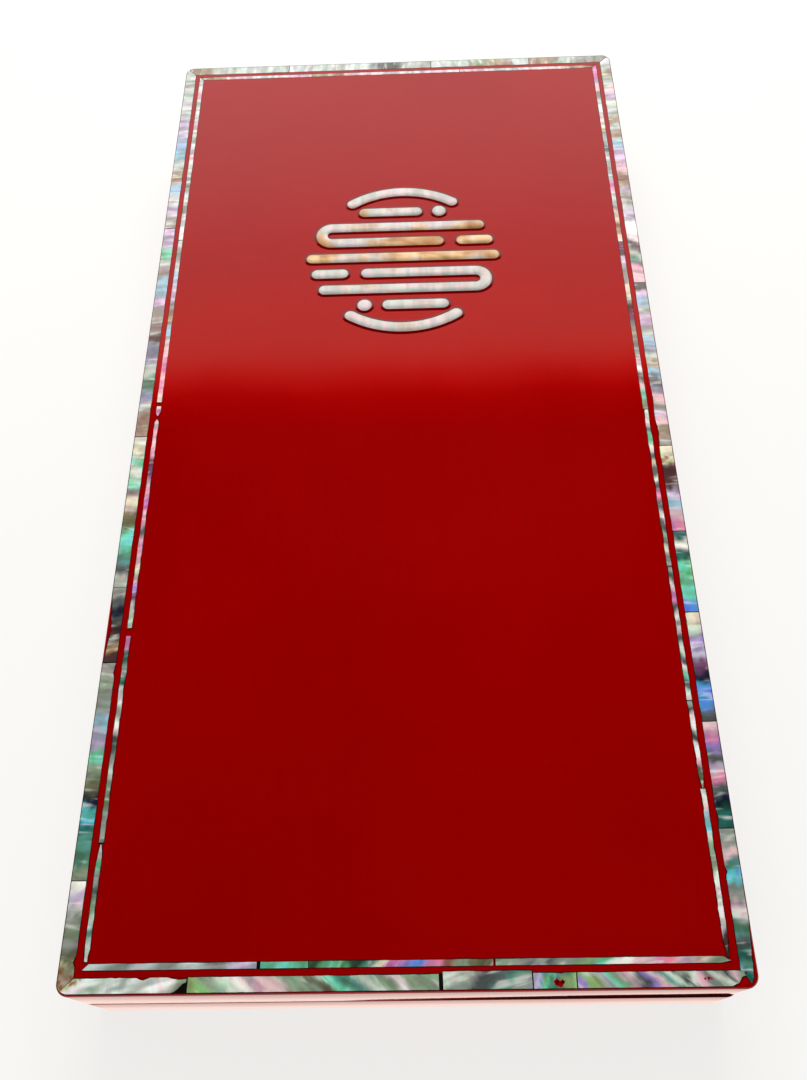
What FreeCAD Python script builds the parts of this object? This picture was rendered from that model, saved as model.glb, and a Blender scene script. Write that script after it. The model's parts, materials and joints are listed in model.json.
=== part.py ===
"""Long lacquered writing box with a lift-off lid, shell inlay and a fitted interior.

Millimetres. X runs across the box, Y along it and Z up. The origin is the centre of the
underside, and the front is the narrow side at -Y. The lid is a board on four mitred walls
and drops over a thin lip that stands inside the base. Strips of shell are let into the
board as an edge band, an inner line and a round crest of mist bars. Inside lie two brush
trays and a board with cut-outs for an inkstone and a water dropper.
"""
import FreeCAD, Part
import math
import os
import re

import Sketcher
from FreeCAD import Rotation, Vector

SIZES = {
    # Whole box
    "box_width": 150.0,
    "box_length": 304.0,
    "base_height": 16.6,
    "lid_height": 17.4,
    "corner_radius": 3.5,
    # Boards and walls
    "lid_board": 4.0,
    "lid_wall": 5.0,
    "edge_ease": 0.5,
    "fit_gap": 0.3,
    "floor_board": 4.0,
    "floor_rabbet": 2.0,
    "foot_ease": 1.0,
    "seam_ease": 0.45,
    "lip_thickness": 2.0,
    "lip_rise": 4.5,
    "lip_ease": 0.5,
    # Shell inlay
    "band_inset": 0.6,
    "band_width": 3.1,
    "band_radius": 2.9,
    "line_inset": 5.2,
    "line_width": 1.4,
    "shell_sunk": 0.65,
    "shell_proud": 0.1,
    # Round crest of mist bars
    "crest_across": 1.3,
    "crest_from_back": 93.6,
    "bar_width": 3.6,
    "bar_pitch": 6.45,
    "brow_gap": 5.25,
    "bar_sunk": 0.5,
    "bar_proud": 0.7,
    "bar_ease": 0.45,
    "dot_width": 4.4,
    # Fitted interior
    "insert_gap": 0.5,
    "panel_margin": 6.2,
    "tray_height": 14.0,
    "tray_board": 2.0,
    "panel_thickness": 3.0,
    "mat_thickness": 5.0,
    "seat_gap": 0.5,
    # Inkstone
    "stone_width": 66.0,
    "stone_length": 130.0,
    "stone_height": 14.0,
    "stone_radius": 6.0,
    "stone_rim": 5.0,
    "stone_field_depth": 1.5,
    "stone_well_depth": 7.5,
    "stone_well_length": 34.0,
    "stone_well_floor": 14.0,
    "stone_ease": 1.0,
    "stone_place": -48.0,
    # Water dropper
    "dropper_width": 46.0,
    "dropper_length": 30.0,
    "dropper_height": 13.0,
    "dropper_radius": 5.0,
    "dropper_wall": 1.5,
    "dropper_ease": 2.0,
    "dropper_hole": 2.6,
    "dropper_spout_inset": 7.0,
    "dropper_place": 78.0,
}

# Joints between the strips of each side, as (share of the side from its middle, gap in mm),
# counted towards +X or +Y. The strips are cut by hand, so the joints keep no pattern.
BAND_JOINTS = {
    "front": [(-0.311, 0.30), (0.052, 0.90), (0.182, 0.30), (0.244, 0.25)],
    "right": [(-0.390, 0.20), (-0.307, 0.20), (-0.213, 0.25), (-0.136, 0.20), (-0.047, 0.20), (0.149, 0.15),
              (0.295, 0.15)],
    "back": [(-0.255, 0.20), (0.080, 0.20), (0.310, 0.20)],
    "left": [(-0.421, 0.20), (-0.248, 0.25), (-0.179, 0.15), (-0.023, 0.25), (0.242, 0.25)],
}
LINE_JOINTS = {
    "front": [(-0.210, 0.80), (-0.137, 0.15), (0.129, 0.50)],
    "right": [(-0.360, 0.20), (-0.289, 0.20), (-0.170, 0.30), (-0.006, 0.20), (0.205, 0.20)],
    "back": [(-0.200, 0.20), (0.147, 0.20)],
    "left": [(-0.394, 0.50), (-0.221, 2.20), (-0.002, 1.40), (0.014, 1.40), (0.225, 0.30)],
}

# The crest is a circle over three rows of bars each way from its middle, with a gap before the brow.
# Its bars end at shares of the radius, from the middle towards +X.
CREST_RADIUS = "(3 * bar_pitch + 3 * bar_width / 2 + brow_gap)"
CREST_ENDS = {
    "hairpin": (-0.74, 0.80, 0.37),
    "short_bar": (0.62, 0.88),
    "cap_bar": (-0.40, 0.15),
    "dot": 0.39,
    "brow": 0.53,
}

# The base's walls are thicker than the lid's by the lid's clearance over the lip
BASE_WALL = "(lid_wall + fit_gap)"
FLOOR_INSET = "(lid_wall + fit_gap - floor_rabbet)"
INNER_HALF = "(box_width / 2 - lid_wall - fit_gap - lip_thickness)"
INSERT_LENGTH = "(box_length - 2 * (lid_wall + fit_gap + lip_thickness + insert_gap))"
PANEL_WIDTH = "(stone_width + 2 * (seat_gap + panel_margin))"
TRAY_WIDTH = f"({INNER_HALF} - 2 * insert_gap - {PANEL_WIDTH} / 2)"

# Turn of each side about Z, its own length, and the distance between it and its opposite
SIDES = {
    "front": (0, "box_width", "box_length"),
    "right": (90, "box_length", "box_width"),
    "back": (180, "box_width", "box_length"),
    "left": (270, "box_length", "box_width"),
}

START, END, CENTRE = range(1, 4)
X_AXIS, Y_AXIS = range(-1, -3, -1)
DIAGONAL = math.cos(math.radians(45))
NEAR = 1e-6

doc = FreeCAD.newDocument("writing_box")
sheet = doc.addObject("Spreadsheet::Sheet", "sizes")
for row, (alias, number) in enumerate(SIZES.items(), start=1):
    sheet.set(f"A{row}", alias)
    sheet.set(f"B{row}", str(number))
    sheet.setAlias(f"B{row}", alias)
doc.recompute()

pieces = []


# Sheet and object helpers

def bound(expression):
    """The expression with every size name pointed at the sheet."""
    return re.sub(r"[a-z_]+", lambda word: f"sizes.{word[0]}" if word[0] in SIZES else word[0], expression)


def size(expression):
    """The present value of an expression in the sheet's names."""
    return float(sheet.evalExpression(expression))


def place(thing, x="0", y="0", z="0", turn=0):
    thing.Placement.Rotation = Rotation(Vector(0, 0, 1), turn)
    for axis, expression in zip("xyz", (x, y, z)):
        thing.setExpression(f"Placement.Base.{axis}", bound(expression))


def keep(thing, label):
    """Name a finished piece and list it for export."""
    thing.Label = label
    pieces.append(thing)
    return thing


def origin_plane(body, role):
    return next(item for item in body.Origin.OriginFeatures if item.Role == role)


def new_sketch(body, name, role="XY_Plane"):
    sketch = body.newObject("Sketcher::SketchObject", name)
    sketch.AttachmentSupport = (origin_plane(body, role), [""])
    sketch.MapMode = "FlatFace"
    return sketch


def rule(sketch, *parts):
    return sketch.addConstraint(Sketcher.Constraint(*parts))


def dimension(sketch, kind, *parts):
    """Add a dimension whose last part is an expression in the sheet's names."""
    *where, expression = parts
    index = rule(sketch, kind, *where, size(expression))
    sketch.setExpression(f"Constraints[{index}]", bound(expression))


def heading(edge, end):
    parameter = edge.FirstParameter if end == START else edge.LastParameter
    return edge.tangent(parameter)[0]


def chain(sketch, edges):
    """Add the edges and join each to the next, smoothly where they run on in line."""
    first = sketch.GeometryCount
    for edge in edges:
        sketch.addGeometry(edge)
    for offset, edge in enumerate(edges):
        follower = (offset + 1) % len(edges)
        pairs = [(a, b) for a in (START, END) for b in (START, END)]
        here, there = first + offset, first + follower
        gap = {pair: sketch.getPoint(here, pair[0]).distanceToPoint(sketch.getPoint(there, pair[1]))
               for pair in pairs}
        a, b = min(gap, key=gap.get)
        smooth = abs(heading(edge, a).cross(heading(edges[follower], b)).z) < 1e-3
        rule(sketch, "Tangent" if smooth else "Coincident", here, a, there, b)
    return list(range(first, first + len(edges)))


def line(x0, y0, x1, y1):
    return Part.LineSegment(Vector(x0, y0, 0), Vector(x1, y1, 0))


def arc(x, y, radius, start, stop):
    circle = Part.Circle(Vector(x, y, 0), Vector(0, 0, 1), radius)
    return Part.ArcOfCircle(circle, math.radians(start), math.radians(stop))


def pad(body, sketch, height):
    feature = body.newObject("PartDesign::Pad", f"{body.Name}_pad")
    feature.Profile = sketch
    feature.setExpression("Length", bound(height))
    doc.recompute()
    return feature


def pocket(body, sketch, depth, up=False, both_ways=False):
    """Cut the sketch's outline out of the body, downwards unless up is set."""
    feature = body.newObject("PartDesign::Pocket", f"{body.Name}_pocket")
    feature.Profile = sketch
    feature.Reversed = up
    feature.SideType = "Symmetric" if both_ways else "One side"
    feature.setExpression("Length", bound(depth))
    doc.recompute()
    return feature


def edges_where(feature, test):
    """Names of the edges whose two ends and middle all pass the test."""
    names = []
    for number, edge in enumerate(feature.Shape.Edges, start=1):
        middle = edge.valueAt((edge.FirstParameter + edge.LastParameter) / 2)
        if all(test(point) for point in [middle] + [vertex.Point for vertex in edge.Vertexes]):
            names.append(f"Edge{number}")
    return names


def ease(body, feature, amount, test):
    """Chamfer the feature's edges that pass the test."""
    chamfer = body.newObject("PartDesign::Chamfer", f"{body.Name}_ease")
    chamfer.Base = (feature, edges_where(feature, test))
    chamfer.setExpression("Size", bound(amount))
    doc.recompute()
    return chamfer


def at_height(level):
    return lambda point: abs(point.z - level) < NEAR


def board(label, x, y, z, width, length, height):
    """A plain rectangular board whose low corner is at x, y, z."""
    box = doc.addObject("Part::Box", label)
    for side, expression in (("Length", width), ("Width", length), ("Height", height)):
        box.setExpression(side, bound(expression))
    place(box, x, y, z)
    return keep(box, label)


# Outlines

def mitred_outline(sketch, length, thickness, radius=None):
    """Plan of one side of a frame: outer edge on X, inside towards +Y, ends cut at 45 degrees.

    With a radius, half of each rounded corner of the frame belongs to the side.
    """
    half, deep = size(length) / 2, size(thickness)
    bend = size(radius) if radius else 0
    tip = bend * (1 - DIAGONAL)
    edges = [
        line(bend - half, 0, half - bend, 0),
        line(half - tip, tip, half - deep, deep),
        line(half - deep, deep, deep - half, deep),
        line(deep - half, deep, tip - half, tip),
    ]
    if radius:
        edges.insert(1, arc(half - bend, bend, bend, 270, 315))
        edges.append(arc(bend - half, bend, bend, 225, 270))
    numbers = chain(sketch, edges)
    outer, inner = numbers[0], numbers[3 if radius else 2]
    mitres = (inner - 1, inner + 1)
    rule(sketch, "Horizontal", outer)
    rule(sketch, "PointOnObject", outer, START, X_AXIS)
    rule(sketch, "Symmetric", inner, START, inner, END, Y_AXIS)
    for mitre, angle in zip(mitres, (135, -135)):
        rule(sketch, "Angle", mitre, math.radians(angle))
    dimension(sketch, "DistanceY", outer, START, inner, START, thickness)
    dimension(sketch, "DistanceX", inner, END, inner, START, f"{length} - 2 * ({thickness})")
    if radius:
        bends = (numbers[1], numbers[-1])
        for bend_number, mitre in zip(bends, mitres):
            rule(sketch, "PointOnObject", bend_number, CENTRE, mitre)
        rule(sketch, "Equal", *bends)
        dimension(sketch, "Radius", bends[0], radius)


def rounded_rectangle(sketch, width, length, radius, middle="0"):
    """A rectangle with rounded corners, centred on X = 0 and on the given Y."""
    half_x, half_y, bend, y = size(width) / 2, size(length) / 2, size(radius), size(middle)
    in_x, in_y = half_x - bend, half_y - bend
    numbers = chain(sketch, [
        line(-in_x, y - half_y, in_x, y - half_y),
        arc(in_x, y - in_y, bend, 270, 360),
        line(half_x, y - in_y, half_x, y + in_y),
        arc(in_x, y + in_y, bend, 0, 90),
        line(in_x, y + half_y, -in_x, y + half_y),
        arc(-in_x, y + in_y, bend, 90, 180),
        line(-half_x, y + in_y, -half_x, y - in_y),
        arc(-in_x, y - in_y, bend, 180, 270),
    ])
    south, east, north, west = numbers[0::2]
    bends = numbers[1::2]
    for level in (south, north):
        rule(sketch, "Horizontal", level)
    for upright in (east, west):
        rule(sketch, "Vertical", upright)
    for other in bends[1:]:
        rule(sketch, "Equal", bends[0], other)
    dimension(sketch, "Radius", bends[0], radius)
    dimension(sketch, "DistanceX", west, START, east, START, width)
    dimension(sketch, "DistanceX", west, START, Y_AXIS, START, f"({width}) / 2")
    dimension(sketch, "DistanceY", south, START, north, START, length)
    dimension(sketch, "DistanceY", south, START, Y_AXIS, START, f"({length}) / 2 - ({middle})")


def rectangle(sketch, x0, y0, x1, y1):
    """A plain rectangle between two corners given as expressions."""
    left, low, right, high = (size(value) for value in (x0, y0, x1, y1))
    south, east, north, west = chain(sketch, [
        line(left, low, right, low),
        line(right, low, right, high),
        line(right, high, left, high),
        line(left, high, left, low),
    ])
    for level in (south, north):
        rule(sketch, "Horizontal", level)
    for upright in (east, west):
        rule(sketch, "Vertical", upright)
    dimension(sketch, "DistanceX", Y_AXIS, START, south, START, x0)
    dimension(sketch, "DistanceY", Y_AXIS, START, south, START, y0)
    dimension(sketch, "DistanceX", Y_AXIS, START, north, START, x1)
    dimension(sketch, "DistanceY", Y_AXIS, START, north, START, y1)


def bar_outline(sketch, x0, x1, y):
    """A level bar with round ends, between two end centres."""
    left, right, level, tip = size(x0), size(x1), size(y), size("bar_width") / 2
    low, right_end, high, left_end = chain(sketch, [
        line(left, level - tip, right, level - tip),
        arc(right, level, tip, 270, 450),
        line(right, level + tip, left, level + tip),
        arc(left, level, tip, 90, 270),
    ])
    rule(sketch, "Horizontal", low)
    rule(sketch, "Equal", left_end, right_end)
    dimension(sketch, "Radius", left_end, "bar_width / 2")
    dimension(sketch, "DistanceX", Y_AXIS, START, left_end, CENTRE, x0)
    dimension(sketch, "DistanceX", Y_AXIS, START, right_end, CENTRE, x1)
    dimension(sketch, "DistanceY", Y_AXIS, START, left_end, CENTRE, y)


def hairpin_outline(sketch, bend, long_end, short_end, y):
    """Two level bars one pitch apart, joined by a round bend on the -X side."""
    x, far, near, level = (size(value) for value in (bend, long_end, short_end, y))
    tip, turn = size("bar_width") / 2, size("bar_pitch") / 2
    wide, tight = turn + tip, turn - tip
    numbers = chain(sketch, [
        line(x, level + wide, far, level + wide),
        arc(far, level + turn, tip, -90, 90),
        line(far, level + tight, x, level + tight),
        arc(x, level, tight, 90, 270),
        line(x, level - tight, near, level - tight),
        arc(near, level - turn, tip, -90, 90),
        line(near, level - wide, x, level - wide),
        arc(x, level, wide, 90, 270),
    ])
    for level_line in numbers[0::2]:
        rule(sketch, "Horizontal", level_line)
    far_end, inner, near_end, outer = numbers[1::2]
    rule(sketch, "Coincident", inner, CENTRE, outer, CENTRE)
    dimension(sketch, "Radius", far_end, "bar_width / 2")
    dimension(sketch, "Radius", inner, "(bar_pitch - bar_width) / 2")
    dimension(sketch, "DistanceX", Y_AXIS, START, inner, CENTRE, bend)
    dimension(sketch, "DistanceY", Y_AXIS, START, inner, CENTRE, y)
    dimension(sketch, "DistanceX", Y_AXIS, START, far_end, CENTRE, long_end)
    dimension(sketch, "DistanceX", Y_AXIS, START, near_end, CENTRE, short_end)


def brow_outline(sketch, reach):
    """An arched bar along the crest's rim, its end centres at +-reach across."""
    rim, tip, half = size(CREST_RADIUS), size("bar_width") / 2, size(reach)
    middle = rim - tip
    lean = math.degrees(math.asin(half / middle))
    rise = math.sqrt(middle ** 2 - half ** 2)
    outer, left_end, inner, right_end = chain(sketch, [
        arc(0, 0, rim, 90 - lean, 90 + lean),
        arc(-half, rise, tip, 90 + lean, 270 + lean),
        arc(0, 0, middle - tip, 90 - lean, 90 + lean),
        arc(half, rise, tip, 270 - lean, 450 - lean),
    ])
    rule(sketch, "Coincident", outer, CENTRE, Y_AXIS, START)
    rule(sketch, "Coincident", inner, CENTRE, Y_AXIS, START)
    dimension(sketch, "Radius", outer, CREST_RADIUS)
    dimension(sketch, "Radius", inner, f"{CREST_RADIUS} - bar_width")
    dimension(sketch, "DistanceX", left_end, CENTRE, Y_AXIS, START, reach)
    dimension(sketch, "DistanceX", Y_AXIS, START, right_end, CENTRE, reach)


# Frames of four mitred sides

def frame_side(name, side, inset, thickness, radius, bottom, height):
    """One mitred side of a frame whose outer edge lies inset from the box's side."""
    along = SIDES[side][1]
    body = doc.addObject("PartDesign::Body", f"{name}_{side}")
    sketch = new_sketch(body, f"{name}_{side}_plan")
    mitred_outline(sketch, f"{along} - 2 * ({inset})", thickness, radius)
    solid = pad(body, sketch, height)
    place_side(body, side, inset, bottom)
    return body, solid


def place_side(thing, side, inset, bottom):
    turn, _, across = SIDES[side]
    reach = f"{across} / 2 - ({inset})"
    x = {"right": reach, "left": f"-({reach})"}.get(side, "0")
    y = {"back": reach, "front": f"-({reach})"}.get(side, "0")
    place(thing, x, y, bottom, turn)


def on_outer_edge(level):
    """A test for the edges of a wall's outer face and half corners at one height."""
    reach = size("corner_radius") * (1 - DIAGONAL) + NEAR
    return lambda point: abs(point.z - level) < NEAR and point.y < reach


def lid_walls():
    for side in SIDES:
        body, solid = frame_side("lid_wall", side, "0", "lid_wall", "corner_radius", "base_height",
                                 "lid_height - lid_board")
        ease(body, solid, "seam_ease", on_outer_edge(0))
        keep(body, f"lid_wall_{side}")


def base_walls():
    """The lower walls, rabbeted below for the floor board and eased at the seam and the foot."""
    for side in SIDES:
        along = SIDES[side][1]
        body, solid = frame_side("base_wall", side, "0", BASE_WALL, "corner_radius", "0", "base_height")
        solid = ease(body, solid, "seam_ease", on_outer_edge(size("base_height")))
        ease(body, solid, "foot_ease", on_outer_edge(0))
        rabbet = new_sketch(body, f"base_wall_{side}_rabbet")
        rectangle(rabbet, f"-{along} / 2", FLOOR_INSET, f"{along} / 2", f"{BASE_WALL} + floor_rabbet")
        pocket(body, rabbet, "floor_board", up=True)
        keep(body, f"base_wall_{side}")


def lip():
    """Thin boards inside the base walls that stand above the seam and centre the lid."""
    top = size("base_height + lip_rise - floor_board")
    for side in SIDES:
        body, solid = frame_side("lip", side, BASE_WALL, "lip_thickness", None, "floor_board",
                                 "base_height + lip_rise - floor_board")
        ease(body, solid, "lip_ease",
             lambda point: at_height(top)(point) and min(point.y, size("lip_thickness") - point.y) < NEAR)
        keep(body, f"lip_{side}")


def floor_panel():
    board("base_floor", f"{FLOOR_INSET} - box_width / 2", f"{FLOOR_INSET} - box_length / 2", "0",
          f"box_width - 2 * {FLOOR_INSET}", f"box_length - 2 * {FLOOR_INSET}", "floor_board")


# Shell inlay in the lid board

def strips(name, side, inset, thickness, radius, joints):
    """One side of a shell band, sawn through at its joints into separate strips."""
    bottom = "base_height + lid_height - shell_sunk"
    height = "shell_sunk + shell_proud"
    body, solid = frame_side(f"{name}_blank", side, inset, thickness, radius, bottom, height)
    along = SIDES[side][1]
    towards = 1 if side in ("front", "right") else -1
    saws = []
    for number, (share, gap) in enumerate(joints, start=1):
        saw = doc.addObject("Part::Box", f"{name}_{side}_saw_{number}")
        saw.Length = gap
        saw.setExpression("Width", bound(f"3 * {thickness}"))
        saw.setExpression("Height", bound(f"3 * ({height})"))
        place(saw, f"{along} * {towards * share} - {gap / 2}", f"-{thickness}", f"-({height})")
        saws.append(saw)
    cuts = doc.addObject("Part::Compound", f"{name}_{side}_cuts")
    cuts.Links = saws
    place_side(cuts, side, inset, bottom)
    sawn = doc.addObject("Part::Cut", f"{name}_{side}")
    sawn.Base, sawn.Tool = body, cuts
    doc.recompute()
    return keep(sawn, f"{name}_{side}")


def crest_piece(label, outline, *where, upside_down=False):
    """One shell piece of the crest, with its upper edge eased. The lower half is the upper turned round."""
    body = doc.addObject("PartDesign::Body", label)
    sketch = new_sketch(body, f"{label}_plan")
    outline(sketch, *where)
    solid = pad(body, sketch, "bar_sunk + bar_proud")
    ease(body, solid, "bar_ease", at_height(size("bar_sunk + bar_proud")))
    return keep(place_in_crest(body, upside_down=upside_down), label)


def place_in_crest(thing, x="0", y="0", upside_down=False):
    sign = -1 if upside_down else 1
    place(thing, f"crest_across + {sign} * ({x})", f"box_length / 2 - crest_from_back + {sign} * ({y})",
          "base_height + lid_height - bar_sunk", 180 if upside_down else 0)
    return thing


def crest_dot(label, x, y, upside_down=False):
    body = doc.addObject("PartDesign::Body", label)
    sketch = new_sketch(body, f"{label}_plan")
    circle = sketch.addGeometry(Part.Circle(Vector(0, 0, 0), Vector(0, 0, 1), size("dot_width") / 2))
    rule(sketch, "Coincident", circle, CENTRE, Y_AXIS, START)
    dimension(sketch, "Radius", circle, "dot_width / 2")
    solid = pad(body, sketch, "bar_sunk + bar_proud")
    ease(body, solid, "bar_ease", at_height(size("bar_sunk + bar_proud")))
    return keep(place_in_crest(body, x, y, upside_down), label)


def crest():
    """Mist bars on rows one pitch apart, within a circle and alike when turned half round."""
    bend, long_end, short_end = (f"{share} * {CREST_RADIUS}" for share in CREST_ENDS["hairpin"])
    short_bar = [f"{share} * {CREST_RADIUS}" for share in CREST_ENDS["short_bar"]]
    cap_bar = [f"{share} * {CREST_RADIUS}" for share in CREST_ENDS["cap_bar"]]
    found = [crest_piece("crest_middle_bar", bar_outline, f"bar_width / 2 - {CREST_RADIUS}",
                         f"{CREST_RADIUS} - bar_width / 2", "0")]
    for half, flipped in (("upper", False), ("lower", True)):
        found += [
            crest_piece(f"crest_{half}_hairpin", hairpin_outline, bend, long_end, short_end,
                        "3 * bar_pitch / 2", upside_down=flipped),
            crest_piece(f"crest_{half}_short_bar", bar_outline, *short_bar, "bar_pitch", upside_down=flipped),
            crest_piece(f"crest_{half}_cap_bar", bar_outline, *cap_bar, "3 * bar_pitch", upside_down=flipped),
            crest_dot(f"crest_{half}_dot", f"{CREST_ENDS['dot']} * {CREST_RADIUS}", "3 * bar_pitch", flipped),
            crest_piece(f"crest_{half}_brow", brow_outline, f"{CREST_ENDS['brow']} * {CREST_RADIUS}",
                        upside_down=flipped),
        ]
    return found


def lid_board():
    """The lid's top board, recessed to the exact shape of every piece of shell."""
    shell = crest()
    for side in SIDES:
        shell.append(strips("band", side, "band_inset", "band_width", "band_radius", BAND_JOINTS[side]))
        shell.append(strips("line", side, "line_inset", "line_width", None, LINE_JOINTS[side]))
    body = doc.addObject("PartDesign::Body", "lid_board_blank")
    sketch = new_sketch(body, "lid_board_plan")
    rounded_rectangle(sketch, "box_width", "box_length", "corner_radius")
    solid = pad(body, sketch, "lid_board")
    ease(body, solid, "edge_ease", at_height(size("lid_board")))
    place(body, z="base_height + lid_height - lid_board")
    inlay = doc.addObject("Part::Compound", "inlay")
    inlay.Links = shell
    recessed = doc.addObject("Part::Cut", "lid_board")
    recessed.Base, recessed.Tool = body, inlay
    keep(recessed, "lid_board")


# Fitted interior

def brush_tray(side, low_x):
    """A long open tray of five thin boards, for brushes and ink stick."""
    low_hand, high_hand = ("outer", "inner") if side == "left" else ("inner", "outer")
    name = f"brush_tray_{side}"
    low_y = f"-{INSERT_LENGTH} / 2"
    rise = "tray_height - tray_board"
    board(f"{name}_floor", low_x, low_y, "floor_board", TRAY_WIDTH, INSERT_LENGTH, "tray_board")
    for hand, x in ((low_hand, low_x), (high_hand, f"{low_x} + {TRAY_WIDTH} - tray_board")):
        board(f"{name}_{hand}_side", x, low_y, "floor_board + tray_board", "tray_board", INSERT_LENGTH, rise)
    for end, y in (("front", low_y), ("back", f"-({low_y}) - tray_board")):
        board(f"{name}_{end}_end", f"{low_x} + tray_board", y, "floor_board + tray_board",
              f"{TRAY_WIDTH} - 2 * tray_board", "tray_board", rise)


def baseboard():
    """The lift-out board between the trays: a thin panel under a mat with two cut-outs."""
    board("baseboard_panel", f"-{PANEL_WIDTH} / 2", f"-{INSERT_LENGTH} / 2", "floor_board", PANEL_WIDTH,
          INSERT_LENGTH, "panel_thickness")
    body = doc.addObject("PartDesign::Body", "baseboard_mat")
    plan = new_sketch(body, "baseboard_mat_plan")
    rectangle(plan, f"-{PANEL_WIDTH} / 2", f"-{INSERT_LENGTH} / 2", f"{PANEL_WIDTH} / 2", f"{INSERT_LENGTH} / 2")
    pad(body, plan, "mat_thickness")
    for thing in ("stone", "dropper"):
        seat = new_sketch(body, f"{thing}_seat")
        rounded_rectangle(seat, f"{thing}_width + 2 * seat_gap", f"{thing}_length + 2 * seat_gap",
                          f"{thing}_radius + seat_gap", f"{thing}_place")
        pocket(body, seat, "mat_thickness", up=True)
    place(body, z="floor_board + panel_thickness")
    keep(body, "baseboard_mat")


def inkstone():
    """A stone slab with a raised rim and a grinding field that slopes down into a well at the back."""
    body = doc.addObject("PartDesign::Body", "inkstone")
    plan = new_sketch(body, "inkstone_plan")
    rounded_rectangle(plan, "stone_width", "stone_length", "stone_radius")
    slab = pad(body, plan, "stone_height")
    ease(body, slab, "stone_ease", at_height(size("stone_height")))
    field = new_sketch(body, "inkstone_field")
    field.setExpression("AttachmentOffset.Base.z", bound("stone_height"))
    rounded_rectangle(field, "stone_width - 2 * stone_rim", "stone_length - 2 * stone_rim",
                      "stone_radius - stone_ease")
    pocket(body, field, "stone_field_depth")
    well = new_sketch(body, "inkstone_well", "YZ_Plane")
    well_profile(well)
    pocket(body, well, "stone_width - 2 * stone_rim - 2 * stone_ease", both_ways=True)
    place(body, y="stone_place", z="floor_board + panel_thickness")
    keep(body, "inkstone")


def well_profile(sketch):
    """Side view of the well: a slope down from the field, a level floor and an upright back."""
    back, lip_end, floor_start, top, low = (size(value) for value in (
        "stone_length / 2 - stone_rim - stone_ease",
        "stone_length / 2 - stone_rim - stone_ease - stone_well_length",
        "stone_length / 2 - stone_rim - stone_ease - stone_well_floor",
        "stone_height",
        "stone_height - stone_well_depth"))
    brim, slope, floor_line, rear, cover = chain(sketch, [
        line(lip_end, top, lip_end, size("stone_height - stone_field_depth")),
        line(lip_end, size("stone_height - stone_field_depth"), floor_start, low),
        line(floor_start, low, back, low),
        line(back, low, back, top),
        line(back, top, lip_end, top),
    ])
    for upright in (brim, rear):
        rule(sketch, "Vertical", upright)
    for level in (floor_line, cover):
        rule(sketch, "Horizontal", level)
    dimension(sketch, "DistanceX", Y_AXIS, START, rear, START, "stone_length / 2 - stone_rim - stone_ease")
    dimension(sketch, "DistanceY", Y_AXIS, START, cover, START, "stone_height")
    dimension(sketch, "DistanceY", brim, END, brim, START, "stone_field_depth")
    dimension(sketch, "DistanceY", rear, START, rear, END, "stone_well_depth")
    dimension(sketch, "DistanceX", cover, END, cover, START, "stone_well_length")
    dimension(sketch, "DistanceX", floor_line, START, floor_line, END, "stone_well_floor")


def water_dropper():
    """A hollow metal water dropper with a pouring hole, an air hole and a plate closing its underside."""
    body = doc.addObject("PartDesign::Body", "water_dropper_shell")
    plan = new_sketch(body, "water_dropper_plan")
    rounded_rectangle(plan, "dropper_width", "dropper_length", "dropper_radius")
    block = pad(body, plan, "dropper_height")
    ease(body, block, "dropper_ease", at_height(size("dropper_height")))
    inside = new_sketch(body, "water_dropper_inside")
    rounded_rectangle(inside, "dropper_width - 2 * dropper_wall", "dropper_length - 2 * dropper_wall",
                      "dropper_radius - dropper_wall")
    pocket(body, inside, "dropper_height - dropper_wall", up=True)
    holes = new_sketch(body, "water_dropper_holes")
    for x in ("0", "dropper_width / 2 - dropper_spout_inset"):
        circle = holes.addGeometry(Part.Circle(Vector(size(x), 0, 0), Vector(0, 0, 1), size("dropper_hole") / 2))
        dimension(holes, "Radius", circle, "dropper_hole / 2")
        dimension(holes, "DistanceX", Y_AXIS, START, circle, CENTRE, x)
        rule(holes, "PointOnObject", circle, CENTRE, X_AXIS)
    pocket(body, holes, "dropper_height", up=True)
    place(body, y="dropper_place", z="floor_board + panel_thickness")
    keep(body, "water_dropper_shell")

    plate = doc.addObject("PartDesign::Body", "water_dropper_plate")
    outline = new_sketch(plate, "water_dropper_plate_plan")
    rounded_rectangle(outline, "dropper_width - 2 * dropper_wall", "dropper_length - 2 * dropper_wall",
                      "dropper_radius - dropper_wall")
    pad(plate, outline, "dropper_wall")
    place(plate, y="dropper_place", z="floor_board + panel_thickness")
    keep(plate, "water_dropper_plate")


lid_board()
lid_walls()
base_walls()
lip()
floor_panel()
brush_tray("left", f"insert_gap - {INNER_HALF}")
brush_tray("right", f"{PANEL_WIDTH} / 2 + insert_gap")
baseboard()
inkstone()
water_dropper()
doc.recompute()

# Check and export

for item in doc.Objects:
    if {"Invalid", "Error"} & set(item.State):
        raise RuntimeError(f"{item.Label} failed: {item.State}")
for piece in pieces:
    if piece.Shape.isNull() or not piece.Shape.isValid() or not piece.Shape.Solids:
        raise RuntimeError(f"{piece.Label} has no valid solid")

os.makedirs("parts", exist_ok=True)
for piece in pieces:
    piece.Shape.exportStep(f"parts/{piece.Label}.step")
print(f"{len(pieces)} pieces, {sum(len(piece.Shape.Solids) for piece in pieces)} solids")
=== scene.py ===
# %% [markdown]
# # A red lacquer writing box with shell inlay
# The real box is two shallow trays of wood, a base and a lid, that meet at a fine seam. Both are
# coated with many layers of lacquer, so no joint between boards can be seen. Strips of abalone shell
# are let into the lid as a wide edge band and a thin inner line, and a round crest of raised pearl
# lies on the back half. Inside are brush trays, an inkstone and a water dropper.
#
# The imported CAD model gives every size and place. It is loaded first and never changed.

import json
import math

import bmesh
import bpy
from mathutils import Matrix, Vector, noise

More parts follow.
